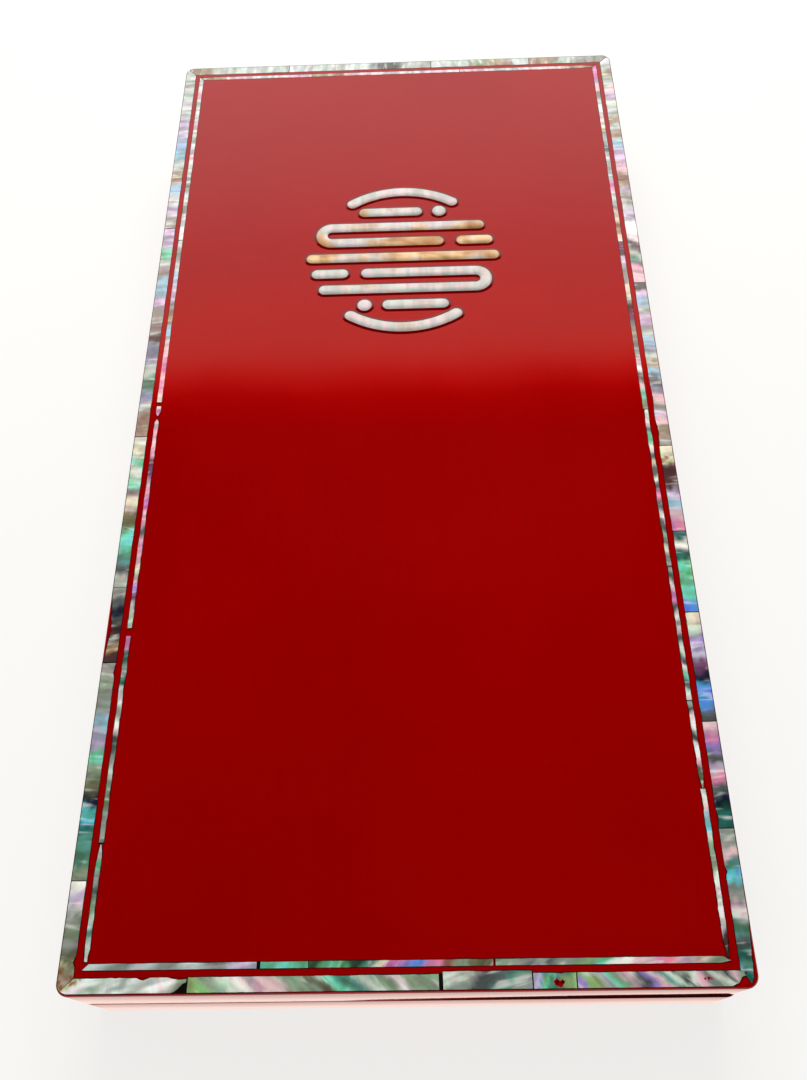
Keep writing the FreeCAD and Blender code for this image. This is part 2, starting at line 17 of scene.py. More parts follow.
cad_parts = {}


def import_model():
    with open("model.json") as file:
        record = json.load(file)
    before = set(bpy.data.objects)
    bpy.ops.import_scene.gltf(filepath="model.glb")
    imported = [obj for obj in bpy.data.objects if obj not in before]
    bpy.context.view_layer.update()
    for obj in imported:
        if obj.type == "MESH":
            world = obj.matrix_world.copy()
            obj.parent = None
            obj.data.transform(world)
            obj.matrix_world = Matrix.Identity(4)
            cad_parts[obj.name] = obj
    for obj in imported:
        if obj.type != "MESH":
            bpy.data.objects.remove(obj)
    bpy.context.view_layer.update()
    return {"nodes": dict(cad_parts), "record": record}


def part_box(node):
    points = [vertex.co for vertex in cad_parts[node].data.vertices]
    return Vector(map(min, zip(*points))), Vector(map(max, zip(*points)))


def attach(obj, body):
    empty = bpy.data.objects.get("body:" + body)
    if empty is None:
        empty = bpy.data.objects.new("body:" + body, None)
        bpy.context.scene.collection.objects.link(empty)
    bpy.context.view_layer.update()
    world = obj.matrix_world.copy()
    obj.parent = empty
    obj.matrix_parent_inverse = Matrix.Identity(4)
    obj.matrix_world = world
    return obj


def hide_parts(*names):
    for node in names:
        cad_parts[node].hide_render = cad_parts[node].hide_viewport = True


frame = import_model()
MM = 0.001

# %% [markdown]
# ## Sizes that the pieces share
# Each box below is read from the CAD nodes, so a change there moves the looks with it. Only what is
# too fine for the solids is given here: small roundings, the narrow red rim outside the shell, the
# groove that the shell lies in, and the seam.

# %% Read the main sizes
lid_low, lid_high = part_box("lid_board")
BOX = HALF_X, HALF_Y = lid_high.x, lid_high.y
LID_TOP, LID_CEILING = lid_high.z, lid_low.z
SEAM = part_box("lid_wall_front")[0].z
LID_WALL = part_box("lid_wall_left")[1].x + HALF_X
BASE_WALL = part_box("base_wall_left")[1].x + HALF_X
FLOOR_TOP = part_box("base_floor")[1].z
BAND_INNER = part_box("band_left")[1].x + HALF_X
LINE_OUTER, LINE_INNER = (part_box("line_left")[corner].x + HALF_X for corner in (0, 1))
SIDES = ("front", "right", "back", "left")
RIM = 0.3 * MM
CORNER = 2.8 * MM
GROOVE = 0.14 * MM
EDGE_ROUND = 0.4 * MM
FOOT_ROUND = 1.0 * MM
SEAM_ROUND = 0.08 * MM
print(f"lid {2000 * HALF_X:.0f} x {2000 * HALF_Y:.0f} mm, seam at {1000 * SEAM:.1f} mm")

# %% [markdown]
# ## Shader arithmetic
# A finish is a small program of nodes. Written as Python expressions it stays readable, so `Wire`
# wraps one output of a node and adds the Math nodes that an expression needs. `Graph.node` adds any
# other node: first its settings, then the values or wires of its inputs.

# %% Wires and graphs
def feed(entry, part):
    """Link a wire into a socket, or set the socket's own value."""
    if isinstance(part, Wire):
        entry.id_data.links.new(part.socket, entry)
    else:
        entry.default_value = part


class Wire:
    """One output of a node. Arithmetic on it adds Math nodes."""

    def __init__(self, socket):
        self.socket = socket

    def math(self, operation, *parts):
        node = self.socket.id_data.nodes.new("ShaderNodeMath")
        node.operation = operation
        for entry, part in zip(node.inputs, parts):
            feed(entry, part)
        return Wire(node.outputs[0])

    def __add__(self, other):
        return self.math("ADD", self, other)

    def __sub__(self, other):
        return self.math("SUBTRACT", self, other)

    def __rsub__(self, other):
        return self.math("SUBTRACT", other, self)

    def __mul__(self, other):
        return self.math("MULTIPLY", self, other)

    def __truediv__(self, other):
        return self.math("DIVIDE", self, other)

    def __rtruediv__(self, other):
        return self.math("DIVIDE", other, self)

    def __pow__(self, other):
        return self.math("POWER", self, other)

    def __abs__(self):
        return self.math("ABSOLUTE", self)

    __radd__, __rmul__ = __add__, __mul__

    def step(self, low, high):
        """0 below low, 1 above high, smooth between. With low above high it falls instead."""
        node = self.socket.id_data.nodes.new("ShaderNodeMapRange")
        node.interpolation_type = "SMOOTHSTEP"
        for entry, part in zip(node.inputs, (self, low, high, 0.0, 1.0)):
            feed(entry, part)
        return Wire(node.outputs[0])


class Graph:
    """The nodes of one finish."""

    def __init__(self, tree):
        self.tree = tree
        tree.nodes.clear()

    def node(self, kind, settings=None, sockets=None, out=0):
        """Add a node, set it up, feed its inputs by name or number, and give one output."""
        node = self.tree.nodes.new(kind)
        for name, value in (settings or {}).items():
            if name == "stops":
                set_stops(node.color_ramp, value)
            else:
                setattr(node, name, value)
        for name, part in (sockets or {}).items():
            feed(node.inputs[name], part)
        return Wire(node.outputs[out]) if node.outputs else None

    def place(self, scale=(1, 1, 1), turn=0.0, source="Object"):
        """Coordinates on the piece, turned about Z and then stretched, so that streaks can run aslant."""
        where = self.node("ShaderNodeTexCoord", out=source)
        if turn:
            about_z = (0, 0, math.radians(turn))
            where = self.node("ShaderNodeMapping", sockets={"Vector": where, "Rotation": about_z})
        return self.node("ShaderNodeMapping", sockets={"Vector": where, "Scale": scale})

    def noise(self, where, scale, detail=3.0, distortion=0.0):
        """Cloudy values from 0 to 1. A scale of 100 on Object coordinates has clouds of about 10 mm."""
        sockets = {"Vector": where, "Scale": scale, "Detail": detail, "Distortion": distortion}
        return self.node("ShaderNodeTexNoise", sockets=sockets)

    def mix(self, factor, first, second, blend="MIX"):
        """Blend two colours, or multiply them."""
        return self.node("ShaderNodeMix", {"data_type": "RGBA", "blend_type": blend},
                         {0: factor, 6: first, 7: second}, out=2)

    def ramp(self, factor, *stops):
        """Turn a value into the colours of its (position, colour) stops."""
        return self.node("ShaderNodeValToRGB", {"stops": stops}, {0: factor})

    def bump(self, height, distance, strength=1.0, under=None):
        """Relief of this depth in metres, on top of the relief under it."""
        sockets = {"Height": height, "Distance": distance, "Strength": strength}
        if under:
            sockets["Normal"] = under
        return self.node("ShaderNodeBump", sockets=sockets)

    def surface(self, **sockets):
        """End the finish with the shader that takes these inputs."""
        named = {name.replace("_", " "): part for name, part in sockets.items()}
        shader = self.node("ShaderNodeBsdfPrincipled", sockets=named)
        self.node("ShaderNodeOutputMaterial", sockets={"Surface": shader})


def light_paths(graph):
    """Two masks: 1 for rays from the camera, and 1 for rays that gloss sends out."""
    return [graph.node("ShaderNodeLightPath", out=f"Is {name} Ray") for name in ("Camera", "Glossy")]


def set_stops(ramp, stops):
    """Give a colour ramp its (position, colour) stops."""
    while len(ramp.elements) < len(stops):
        ramp.elements.new(1.0)
    for element, (position, colour) in zip(ramp.elements, stops):
        element.position = position
        element.color = colour


def tint(red, green, blue):
    """A colour picked on screen, 0 to 255, in the linear values that shaders use."""
    def linear(value):
        share = value / 255
        return share / 12.92 if share <= 0.04045 else ((share + 0.055) / 1.055) ** 2.4
    return (linear(red), linear(green), linear(blue), 1.0)


def new_finish(name):
    """An empty material and the graph to build it with."""
    material = bpy.data.materials.new(name)
    material.use_nodes = True
    return material, Graph(material.node_tree)


print("wires ready")

# %% [markdown]
# ## Lacquer
# Red lacquer owes its depth to a clear top coat over pigment that was polished flat. The colour is
# nearly even, the gloss is high, and the surface swells very slightly, so that a reflected edge
# looks soft and a little uneven. Long faint polishing marks run the length of the lid and blur the
# reflection where they lie. Black lacquer is the same craft with a brown-black pigment. The dull
# dark red is painted shade: the ridge of lacquer round the crest bars gets a darker red than the lid,
# so that it reads as the shade beside them.

# %% Lacquer finishes
LACQUER_SWELL = 0.10 * MM
LACQUER_PEEL = 0.0035 * MM
LACQUER_MARKS = 0.02


def lacquer(name, deep, bright, rubbed):
    """Polished lacquer: two shades of one pigment and a wavy gloss. rubbed is the least roughness."""
    material, graph = new_finish(name)
    cloud = graph.noise(graph.place(), 14.0, detail=4.0)
    marks = graph.noise(graph.place(scale=(1.0, 0.02, 1.0)), 520.0, detail=2.0)
    swell = graph.noise(graph.place(scale=(1.0, 0.45, 1.0)), 42.0, detail=1.0)
    peel = graph.noise(graph.place(), 1300.0, detail=1.0)
    relief = graph.bump(swell, LACQUER_SWELL, under=graph.bump(peel, LACQUER_PEEL))
    graph.surface(Base_Color=graph.mix(cloud.step(0.3, 0.7), deep, bright),
                  Roughness=rubbed + marks.step(0.35, 0.75) * LACQUER_MARKS, Normal=relief,
                  IOR=1.52, Coat_Weight=0.0)
    return material


RED = lacquer("red_lacquer", tint(139, 0, 0), tint(146, 0, 0), 0.03)
BLACK = lacquer("black_lacquer", tint(17, 12, 12), tint(26, 17, 16), 0.12)
# Painted shade: a darker red for the lacquer ridge round the crest bars
RIDGE_PAINTED_SHADE = lacquer("ridge_lacquer_painted_shade", tint(88, 0, 0), tint(100, 0, 0), 0.05)
print("finishes:", RED.name, BLACK.name, RIDGE_PAINTED_SHADE.name)

# %% [markdown]
# ## Outlines and walls
# Lid, base, trays and inkstone are all walls that follow a rounded rectangle. The first outline is
# one face with its four corners bevelled. Each further outline is extruded from the last and set in
# or out, with its corner radius kept true, so a whole section is one list of (inset, height) points.

# %% Helpers for walls
CORNER_STEPS = 8
LEAST_RADIUS = 0.03 * MM


def first_outline(bm, half, radius, z, centre):
    """The edges of a rounded rectangle at one height."""
    turn = Matrix.Translation((*centre, z)) @ Matrix.Diagonal((*half, 1, 1))
    corners = bmesh.ops.create_grid(bm, x_segments=1, y_segments=1, size=1, matrix=turn)["verts"]
    rounded = bmesh.ops.bevel(bm, geom=corners, offset=radius, offset_type="OFFSET", segments=CORNER_STEPS,
                              profile=0.5, affect="VERTICES", material=-1)
    face = rounded["verts"][0].link_faces[0]
    edges = list(face.edges)
    bmesh.ops.delete(bm, geom=[face], context="FACES_ONLY")
    return edges


def set_in(value, centre, half, radius, old, new):
    """One coordinate of an outline's point when the outline's inset goes from old to new."""
    before, after = (max(radius - inset, LEAST_RADIUS) for inset in (old, new))
    reach = abs(value - centre) - (half - old - before)
    return centre + math.copysign(half - new - after + reach * after / before, value - centre)


def carry_on(bm, loop, half, radius, steps, centre=(0.0, 0.0), material=0):
    """Draw a wall on from its last outline, which is the first step. Gives the new last outline."""
    for (old, _), (new, z) in zip(steps, steps[1:]):
        made = bmesh.ops.extrude_edge_only(bm, edges=loop)["geom"]
        for item in made:
            if isinstance(item, bmesh.types.BMVert):
                x, y = (set_in(item.co[axis], centre[axis], half[axis], radius, old, new) for axis in (0, 1))
                item.co = (x, y, z)
            elif isinstance(item, bmesh.types.BMFace):
                item.material_index = material
        loop = [item for item in made if isinstance(item, bmesh.types.BMEdge) and len(item.link_faces) == 1]
    return loop


def wall(bm, half, radius, steps, centre=(0.0, 0.0), material=0):
    """A wall through outlines at each step's inset and height. Gives its first and last outline."""
    inset, z = steps[0]
    first = first_outline(bm, [reach - inset for reach in half], max(radius - inset, LEAST_RADIUS), z, centre)
    return first, carry_on(bm, first, half, radius, steps, centre, material)


def bend(start, end, upright_first, steps=5):
    """A quarter round between two (inset, height) points."""
    points = []
    for step in range(steps + 1):
        angle = math.pi / 2 * step / steps
        rise, run = math.sin(angle), 1 - math.cos(angle)
        if not upright_first:
            rise, run = run, rise
        points.append((start[0] + (end[0] - start[0]) * run, start[1] + (end[1] - start[1]) * rise))
    return points


def cap(bm, *loops, material=0):
    """Close one outline, or the space between an outline and the openings in it."""
    edges = [edge for loop in loops for edge in loop]
    if len(loops) == 1:
        faces = bmesh.ops.contextual_create(bm, geom=edges)["faces"]
    else:
        made = bmesh.ops.triangle_fill(bm, edges=edges, use_beauty=True)["geom"]
        faces = [item for item in made if isinstance(item, bmesh.types.BMFace)]
    for face in faces:
        face.material_index = material


print(f"corners are rounded in {CORNER_STEPS} steps, to no less than {1000 * LEAST_RADIUS:.2f} mm")

# %% [markdown]
# ## From mesh to piece
# Every piece ends the same way. Its faces are turned outwards, it becomes an object with its finish,
# it rides on its CAD body, and it hides the CAD nodes that it stands for. recalc_face_normals can
# guess wrong on thin strips, so each closed shell is measured too: a shell that faces inwards has a
# negative volume, and is turned round.

# %% Finish a piece
def signed_volume(faces):
    """The volume that closed faces enclose. It is negative where they face inwards."""
    total = 0.0
    near = faces[0].verts[0].co.copy()
    for face in faces:
        first, *others = (vert.co - near for vert in face.verts)
        for second, third in zip(others, others[1:]):
            total += first.dot(second.cross(third)) / 6
    return total


def face_outwards(bm):
    """Turn every closed shell of the mesh to face outwards."""
    bmesh.ops.recalc_face_normals(bm, faces=bm.faces)
    left = set(bm.faces)
    while left:
        shell, found = [], [left.pop()]
        while found:
            face = found.pop()
            shell.append(face)
            beside = {other for edge in face.edges for other in edge.link_faces if other in left}
            left -= beside
            found += beside
        if signed_volume(shell) < 0:
            bmesh.ops.reverse_faces(bm, faces=shell)


def finish_piece(name, bm, body, slot, *materials, stands_for=(), sharp=35):
    """Make the bmesh an object with its finish, riding on its CAD body."""
    face_outwards(bm)
    mesh = bpy.data.meshes.new(name)
    bm.to_mesh(mesh)
    bm.free()
    for material in materials:
        mesh.materials.append(material)
    for polygon in mesh.polygons:
        polygon.use_smooth = True
    mesh.set_sharp_from_angle(angle=math.radians(sharp))
    piece = bpy.data.objects.new(name, mesh)
    bpy.context.scene.collection.objects.link(piece)
    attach(piece, body)
    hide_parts(*stands_for)
    print(f"{name}: {len(mesh.polygons)} faces")


print("pieces can be finished")

# %% [markdown]
# ## The seam
# Lid and base meet at a fine dark line. A lid that was fitted by hand seldom sits quite even: here
# the line is faint at the left, and from a bend on it opens slowly towards the right. Lid and base
# are both cut across at the bend, and past it the points along the seam are moved in proportion to
# their distance from it. A dark line in the finish would be quicker, but it couldn't hold a shadow.
# The base's ledge in the gap is black, though, as painted shade.

# %% How the seam opens
SEAM_BEND = -15.0 * MM
SEAM_GAP = 0.14 * MM
SEAM_OPENS = 0.46 * MM
SEAM_LEDGE = 0.8 * MM
LID_SET_BACK = 0.27 * MM
LID_TUCK = 0.02 * MM


def open_to_the_right(bm):
    """Cut the box across where the seam begins to open, and give its points."""
    bmesh.ops.bisect_plane(bm, geom=[*bm.verts, *bm.edges, *bm.faces], plane_co=(SEAM_BEND, 0, 0),
                           plane_no=(1, 0, 0))
    return bm.verts


def opening(x):
    """How far the seam has opened at x, from 0 at the bend to 1 at the right side."""
    return max(0.0, x - SEAM_BEND) / (HALF_X - SEAM_BEND)


print(f"the seam is {1000 * SEAM_GAP:.2f} mm wide, and {1000 * (SEAM_GAP + SEAM_OPENS):.2f} at the right")

# %% [markdown]
# ## The lid
# Lacquer runs over the lid's board and walls without a break, so one piece stands for all five CAD
# nodes. Its section is a list of (inset, height) points: up the outside, over the rounded rim, down
# and up through the two shallow grooves that hold the shell, and across to the middle. The inside
# is black. Where the seam opens, the foot of the near wall is set back, so that it shows from above.

# %% Lid
def lid():
    """The lid in one piece, red outside and black within."""
    bm = bmesh.new()
    outside = bend((LID_TUCK + SEAM_ROUND, SEAM), (LID_TUCK, SEAM + SEAM_ROUND), upright_first=False)
    outside += bend((0, LID_TOP - EDGE_ROUND), (EDGE_ROUND, LID_TOP), upright_first=True)
    for outer, inner in ((RIM, BAND_INNER), (LINE_OUTER, LINE_INNER)):
        outside += [(outer, LID_TOP), (outer, LID_TOP - GROOVE), (inner, LID_TOP - GROOVE), (inner, LID_TOP)]
    inside = [(LID_WALL, SEAM), (LID_WALL, LID_CEILING)]
    outer_foot, middle = wall(bm, BOX, CORNER, outside)
    inner_foot, ceiling = wall(bm, BOX, CORNER, inside, material=1)
    cap(bm, middle)
    cap(bm, ceiling, material=1)
    cap(bm, outer_foot, inner_foot, material=1)
    for vert in open_to_the_right(bm):
        if vert.co.z < SEAM + SEAM_ROUND + LEAST_RADIUS and vert.co.y < CORNER - HALF_Y + LEAST_RADIUS:
            vert.co.y += LID_SET_BACK * opening(vert.co.x)
    walls = [f"lid_wall_{side}" for side in SIDES]
    finish_piece("lid_lacquer", bm, "lid", "red_lacquer", RED, BLACK, stands_for=["lid_board", *walls])


lid()

# %% [markdown]
# ## The base
# The base is made the same way: an eased foot, red outside and black within. Its outer edge is a
# narrow ledge that leaves the gap of the seam, and sinks lower where the seam opens. The ledge and
# its riser are black, which is painted shade that darkens the gap. The thin lip inside the base
# stands above the seam and centres the lid.

# %% Base and lip
LIP_ROUND = 0.5 * MM


def base():
    """The base in one piece, with the ledge that leaves the gap of the seam."""
    bm = bmesh.new()
    outside = bend((FOOT_ROUND, 0), (0, FOOT_ROUND), upright_first=False)
    ledge = SEAM - SEAM_GAP
    outside += bend((0, ledge - SEAM_ROUND), (SEAM_ROUND, ledge), upright_first=True)
    foot, shoulder = wall(bm, BOX, CORNER, outside)
    # Painted shade: the ledge and its riser are black, to darken the gap of the seam
    up_the_ledge = [outside[-1], (SEAM_LEDGE, ledge), (SEAM_LEDGE, SEAM)]
    rim = carry_on(bm, shoulder, BOX, CORNER, up_the_ledge, material=1)
    inner_rim, floor = wall(bm, BOX, CORNER, [(BASE_WALL, SEAM), (BASE_WALL, FLOOR_TOP)], material=1)
    cap(bm, rim, inner_rim, material=1)
    cap(bm, foot, material=1)
    cap(bm, floor, material=1)
    for vert in open_to_the_right(bm):
        if SEAM > vert.co.z > ledge - SEAM_ROUND - LEAST_RADIUS:
            vert.co.z -= SEAM_OPENS * opening(vert.co.x)
    walls = [f"base_wall_{side}" for side in SIDES]
    finish_piece("base_lacquer", bm, "base", "red_lacquer", RED, BLACK, stands_for=["base_floor", *walls])


def lip():
    """The lip's four pieces as one, with a rounded top edge."""
    bm = bmesh.new()
    low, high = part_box("lip_left")
    thickness = high.x - low.x
    shoulder = high.z - LIP_ROUND
    section = [(0, low.z)] + bend((0, shoulder), (LIP_ROUND, high.z), upright_first=True)
    section += bend((thickness - LIP_ROUND, high.z), (thickness, shoulder), upright_first=False)
    outer, inner = wall(bm, (-low.x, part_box("lip_back")[1].y), 0, section + [(thickness, low.z)])
    cap(bm, outer, inner)
    sides = [f"lip_{side}" for side in SIDES]
    finish_piece("lip_lacquer", bm, "base", "black_lacquer", BLACK, stands_for=sides)


base()
lip()

# %% [markdown]
# ## Abalone shell
# Under the grinding, abalone shows layers of nacre that turn from olive through green, blue and
# violet to rose and cream. Each strip carries its own patches of colour in a vertex attribute, and
# soft noise drifts their hue and lightness, as the layers do. Each strip was cut from another part
# of the shell, so its grain runs its own way: the UV map is turned by the strip's own angle, and the
# noise is drawn out along it. The attribute's fourth value stains the shell brown where glue or old
# lacquer soaked in.

# %% Abalone finish
NACRE_RELIEF = 0.20 * MM

# A faint second tint, which drifts over the patches from rose through green to blue
SHEEN = ((0.34, (1.00, 0.84, 0.93, 1)), (0.44, (1.00, 1.00, 1.00, 1)), (0.52, (0.84, 1.00, 0.90, 1)),
         (0.60, (1.00, 1.00, 0.96, 1)), (0.70, (0.88, 0.90, 1.00, 1)))


def grey(graph, value):
    """A number as a colour, for the mixes that multiply."""
    return graph.node("ShaderNodeCombineColor", sockets={0: value, 1: value, 2: value})


def abalone():
    """Nacre in patches, with painted glints of white. The UV map is in millimetres, so a noise scale of 0.2
    has clouds of about 5 mm.
    """
    material, graph = new_finish("abalone")
    where = graph.place(source="UV")
    patch = graph.node("ShaderNodeAttribute", {"attribute_name": "patch"}, out="Color")
    stain = graph.node("ShaderNodeAttribute", {"attribute_name": "patch"}, out="Alpha")
    grain = graph.place(scale=(1.0, 0.22, 1.0), source="UV")
    swirl = graph.noise(where, 0.20, detail=1.0, distortion=0.8)
    ripple = graph.noise(grain, 0.42, detail=1.0, distortion=0.35)
    drift = graph.node("ShaderNodeHueSaturation", sockets={
        "Hue": 0.5 + (swirl - 0.5) * 0.16 + (ripple - 0.5) * 0.12, "Saturation": 0.80 + ripple * 0.30,
        "Value": 1.0, "Fac": 1.0, "Color": patch})
    sheen = graph.ramp(graph.noise(where, 0.30, detail=1.0, distortion=1.0), *SHEEN)
    nacre = graph.mix(1.0, drift, sheen, blend="MULTIPLY")
    shade = 0.60 + swirl.step(0.32, 0.62) * 0.22 + ripple.step(0.36, 0.62) * 0.42
    lit = graph.mix(1.0, nacre, grey(graph, shade), blend="MULTIPLY")
    # Painted highlight: pale glints mixed into the colour where the grain and the lightness are high
    painted_glint = graph.noise(grain, 0.60, detail=1.0, distortion=0.5).step(0.52, 0.74) * shade.step(0.7, 1.2)
    bright = graph.mix(painted_glint * 0.60, lit, tint(236, 240, 230))
    blot = (stain + (graph.noise(where, 0.55, detail=2.0) - 0.5) * 1.2).step(0.42, 0.72)
    colour = graph.mix(blot * 0.80, bright, tint(128, 68, 10))
    relief = graph.bump(swirl + ripple * 0.5, NACRE_RELIEF, strength=0.4)
    graph.surface(Base_Color=colour, Roughness=0.18 + ripple * 0.14, Metallic=0.06, Normal=relief,
                  IOR=1.55)
    return material


ABALONE = abalone()
print("finish:", ABALONE.name)

# %% [markdown]
# ## Patches of nacre
# A maker sorts shell by eye, strip by strip, and has names for its colours. The script does the same:
# each name below is one colour, and each strip is a short row of names from one end to the other.
# Such a row can be read and mended, and the finish above makes soft, grained nacre of it.

# %% Named patches of shell
# Red, green and blue as on screen
PATCHES = {
    "silver": (206, 214, 198), "pearl": (238, 228, 222), "mist": (170, 182, 172), "ash": (142, 146, 138),
    "sage": (140, 160, 132), "lime": (144, 180, 112), "olive": (104, 106, 76), "mint": (98, 204, 164),
    "cyan": (92, 206, 214), "teal": (28, 98, 88), "sea": (78, 140, 122), "sky": (148, 190, 212),
    "blue": (64, 142, 224), "night": (12, 30, 56), "violet": (158, 124, 200), "lilac": (188, 174, 200),
    "rose": (220, 122, 170), "blush": (220, 182, 190), "cream": (216, 206, 182), "amber": (158, 116, 78),
    "rust": (180, 172, 140), "dusk": (66, 44, 46), "slate": (84, 94, 92), "plum": (112, 66, 106),
    "moss": (50, 74, 54), "leaf": (84, 172, 122), "frost": (236, 240, 236), "steel": (120, 138, 158),
    "tawny": (156, 140, 118), "haze": (190, 198, 196), "pink": (238, 156, 178),
}

# How much glue or old lacquer has soaked into some of them
STAINED = {"amber": 0.2, "rust": 0.56, "dusk": 0.1}

# One row of patches for each strip, from the lowest X or Y up
BAND = {
    "front": [
        "rust frost silver frost mist frost silver frost pearl sage",
        "lime sage silver pearl blush blush sage sage olive mint sea silver sage pearl sage sage",
        "silver ash slate slate sea ash",
        "lilac blue lime mint sea sea lime lime",
        "violet lime silver lilac mint sage blush slate violet blush sea silver slate silver blush ash "
        "silver slate blush ash"],
    "right": [
        "teal sea teal slate sea silver blush ash ash cyan sea blush ash ash",
        "teal teal night slate rose lilac slate violet rose blush",
        "slate blue blue night plum lilac violet silver cream",
        "blue mint mint mint mint teal pearl teal",
        "rose blush sky lilac dusk dusk rust cream",
        "ash tawny blush lilac ash blush steel slate sky tawny silver steel sky mist lilac lilac mist "
        "sky lilac slate",
        "blush blush sea mist slate pearl frost frost lilac haze ash lilac tawny",
        "tawny blush lilac lilac sky tawny mist tawny haze silver lilac blush mist tawny mist haze"],
    "back": [
        "tawny mist haze mist",
        "haze mist haze slate mist",
        "haze mist sage tawny haze",
        "tawny mist ash"],
    "left": [
        "rust rust olive ash sage ash silver lilac pearl",
        "sage sea sea teal cyan night olive sage mint lilac lilac sky ash ash sage ash",
        "dusk amber dusk dusk slate night slate ash",
        "silver slate sea mint mint olive olive cream ash mint silver mint cream silver",
        "tawny tawny mist steel sea mist steel steel slate ash mist lilac sky sky ash mist mint lilac "
        "lilac",
        "ash lilac haze sky tawny haze sky sky lilac lilac haze haze mist mist haze"],
}
LINE = {
    "front": [
        "haze ash haze ash haze ash lilac",
        "leaf leaf mint leaf",
        "moss leaf leaf moss sea cream rose violet blue rose amber sage olive olive",
        "sage ash slate ash lime mint pearl blush rose blush cream sage"],
    "right": [
        "dusk dusk pearl pearl pearl pearl sage sage silver cyan blush pearl",
        "olive olive blush pearl slate pearl blush slate",
        "silver slate mint pearl slate silver slate blush ash pearl slate rose pearl slate ash",
        "ash cream slate sage slate pearl slate rose slate pearl slate cream slate pearl mint slate "
        "pearl silver",
        "sage mint blush slate pearl blush ash ash tawny ash plum dusk ash cream cream ash ash lilac "
        "slate plum",
        "cream amber cream ash haze rose haze ash haze slate haze tawny blush haze haze tawny blush "
        "rose rose"],
    "back": [
        "tawny blush haze blush",
        "tawny blush haze blush",
        "blush haze blush tawny"],
    "left": [
        "pearl silver sea silver sage slate ash mint silver",
        "ash ash olive sage silver ash slate pearl ash pearl teal ash teal rose",
        "silver silver plum violet cream cream pink pink slate pink pink rose pink blush plum dusk pink "
        "blush pink blush",
        "rose blush",
        "cream pink pink rose pink blush haze sky tawny tawny ash lilac lilac sky haze haze ash haze",
        "pearl haze ash haze ash haze blush haze mist blush haze mist blush haze"],
}
print(sum(len(strips) for strips in BAND.values()), "band strips described")

# %% [markdown]
# ## Wear and repairs
# Shell this thin chips at its edges, the line's strips run out to points before the corners, and the
# glue that holds it shows where a piece is short. Each flaw is one entry in a list, so that it can be
# moved or left out by itself. All lengths in these lists are in millimetres unless they say MM.

# %% Damage to the shell
# On each side: the strip's number, the edge, where along the side, half length and depth
CHIPS = {
    "band_front": [
        (0, "inner", -56.2, 1.3, 0.7), (0, "inner", -48.0, 2.2, 0.6), (0, "outer", -46.0, 3.6, 3.0),
        (0, "inner", -55.0, 0.4, 0.4), (0, "inner", -50.2, 0.6, 0.3), (0, "inner", -62.0, 0.6, 0.2),
        (4, "outer", 74.6, 5.2, 3.6), (3, "inner", 33.0, 0.7, 0.3)],
    "band_right": [
        (0, "outer", -153.0, 15.0, 1.1), (2, "inner", -24.0, 3.2, 0.9), (2, "inner", -28.5, 1.5, 0.5),
        (5, "inner", -10.0, 5.0, 0.4), (5, "inner", 2.0, 5.0, 0.35), (0, "inner", -128.0, 1.0, 0.4),
        (1, "inner", -116.5, 2.0, 0.4)],
    "band_left": [
        (2, "outer", -66.0, 10.0, 0.9), (1, "inner", -77.5, 2.2, 0.5), (0, "inner", -145.0, 1.2, 0.5)],
}

# Where the line's strips narrow towards an end: the strip's number, the end, over what length, the
# share of the width left there, and how far the strip stops short
POINTS = {
    "line_front": [(0, "start", 0.5, 0.8, 0.0), (3, "end", 2.2, 0.35, 0.0)],
    "line_right": [(0, "start", 5.0, 0.1, 1.0), (1, "start", 3.0, 0.2, 0.0)],
    "line_left": [(0, "start", 4.0, 0.5, 1.8), (0, "end", 2.5, 0.2, 0.0), (2, "end", 1.0, 0.3, 0.0),
                  (3, "start", 1.0, 0.3, 0.0)],
    "line_back": [(0, "start", 3.0, 0.2, 0.0), (2, "end", 5.0, 0.2, 0.0)],
}

# Red lacquer shows in most chips. Dark glue fills those at these edges, and it also fills the joints
# after these strips, this much wider.
GLUED_CHIPS = [("band_front", 0, "outer")]
GLUED_JOINTS = {("band_front", 1): 0.8 * MM, ("line_front", 0): 0.8 * MM, ("band_right", 4): 0.4 * MM}

# A strip that has come up: how much wider and how much higher it stands than its neighbours
LIFTED = {("band_front", 2): (0.5 * MM, 0.12 * MM)}
SEATED = (0, 0)

# Which way the grain lies, in degrees from straight across the strip. Other strips lean a little.
GRAIN = {"band_front": [78, -50, 75, 14, -48], "line_front": [80, 20, 30, 70]}
GRAIN_SPREAD = 30
print(sum(len(chips) for chips in CHIPS.values()), "chips")

# %% [markdown]
# ## Shell strips
# The maker lays a band of shell and saws it to fit, so the script does that too: a flat band is cut
# at both mitres and at each joint with bisect_plane. The joints come from the CAD strips. The band is
# divided finely first, so that its edges can be moved afterwards.
#
# All sides are cut lying like the front one, with X along the side and Y inwards from the box's
# edge, and then turned into place.

# %% Lay a band and saw it
COLUMN = 0.8 * MM
ROWS = 3
SNAP = 0.001 * MM
LONG_EDGE = 50 * MM
SHELL_TOP = LID_TOP + 0.05 * MM
SHELL_PILLOW = 0.03 * MM
TURNS = {"front": 0, "right": 90, "back": 180, "left": 270}


def side_sizes(side):
    """Half the length of a side, and how far it lies from the middle of the box."""
    return (HALF_X, HALF_Y) if side in ("front", "back") else (HALF_Y, HALF_X)


def side_frame(side):
    """The matrix that turns a strip lying along the front edge into its own side's place."""
    reach = side_sizes(side)[1]
    return Matrix.Rotation(math.radians(TURNS[side]), 4, "Z") @ Matrix.Translation((0, -reach, 0))


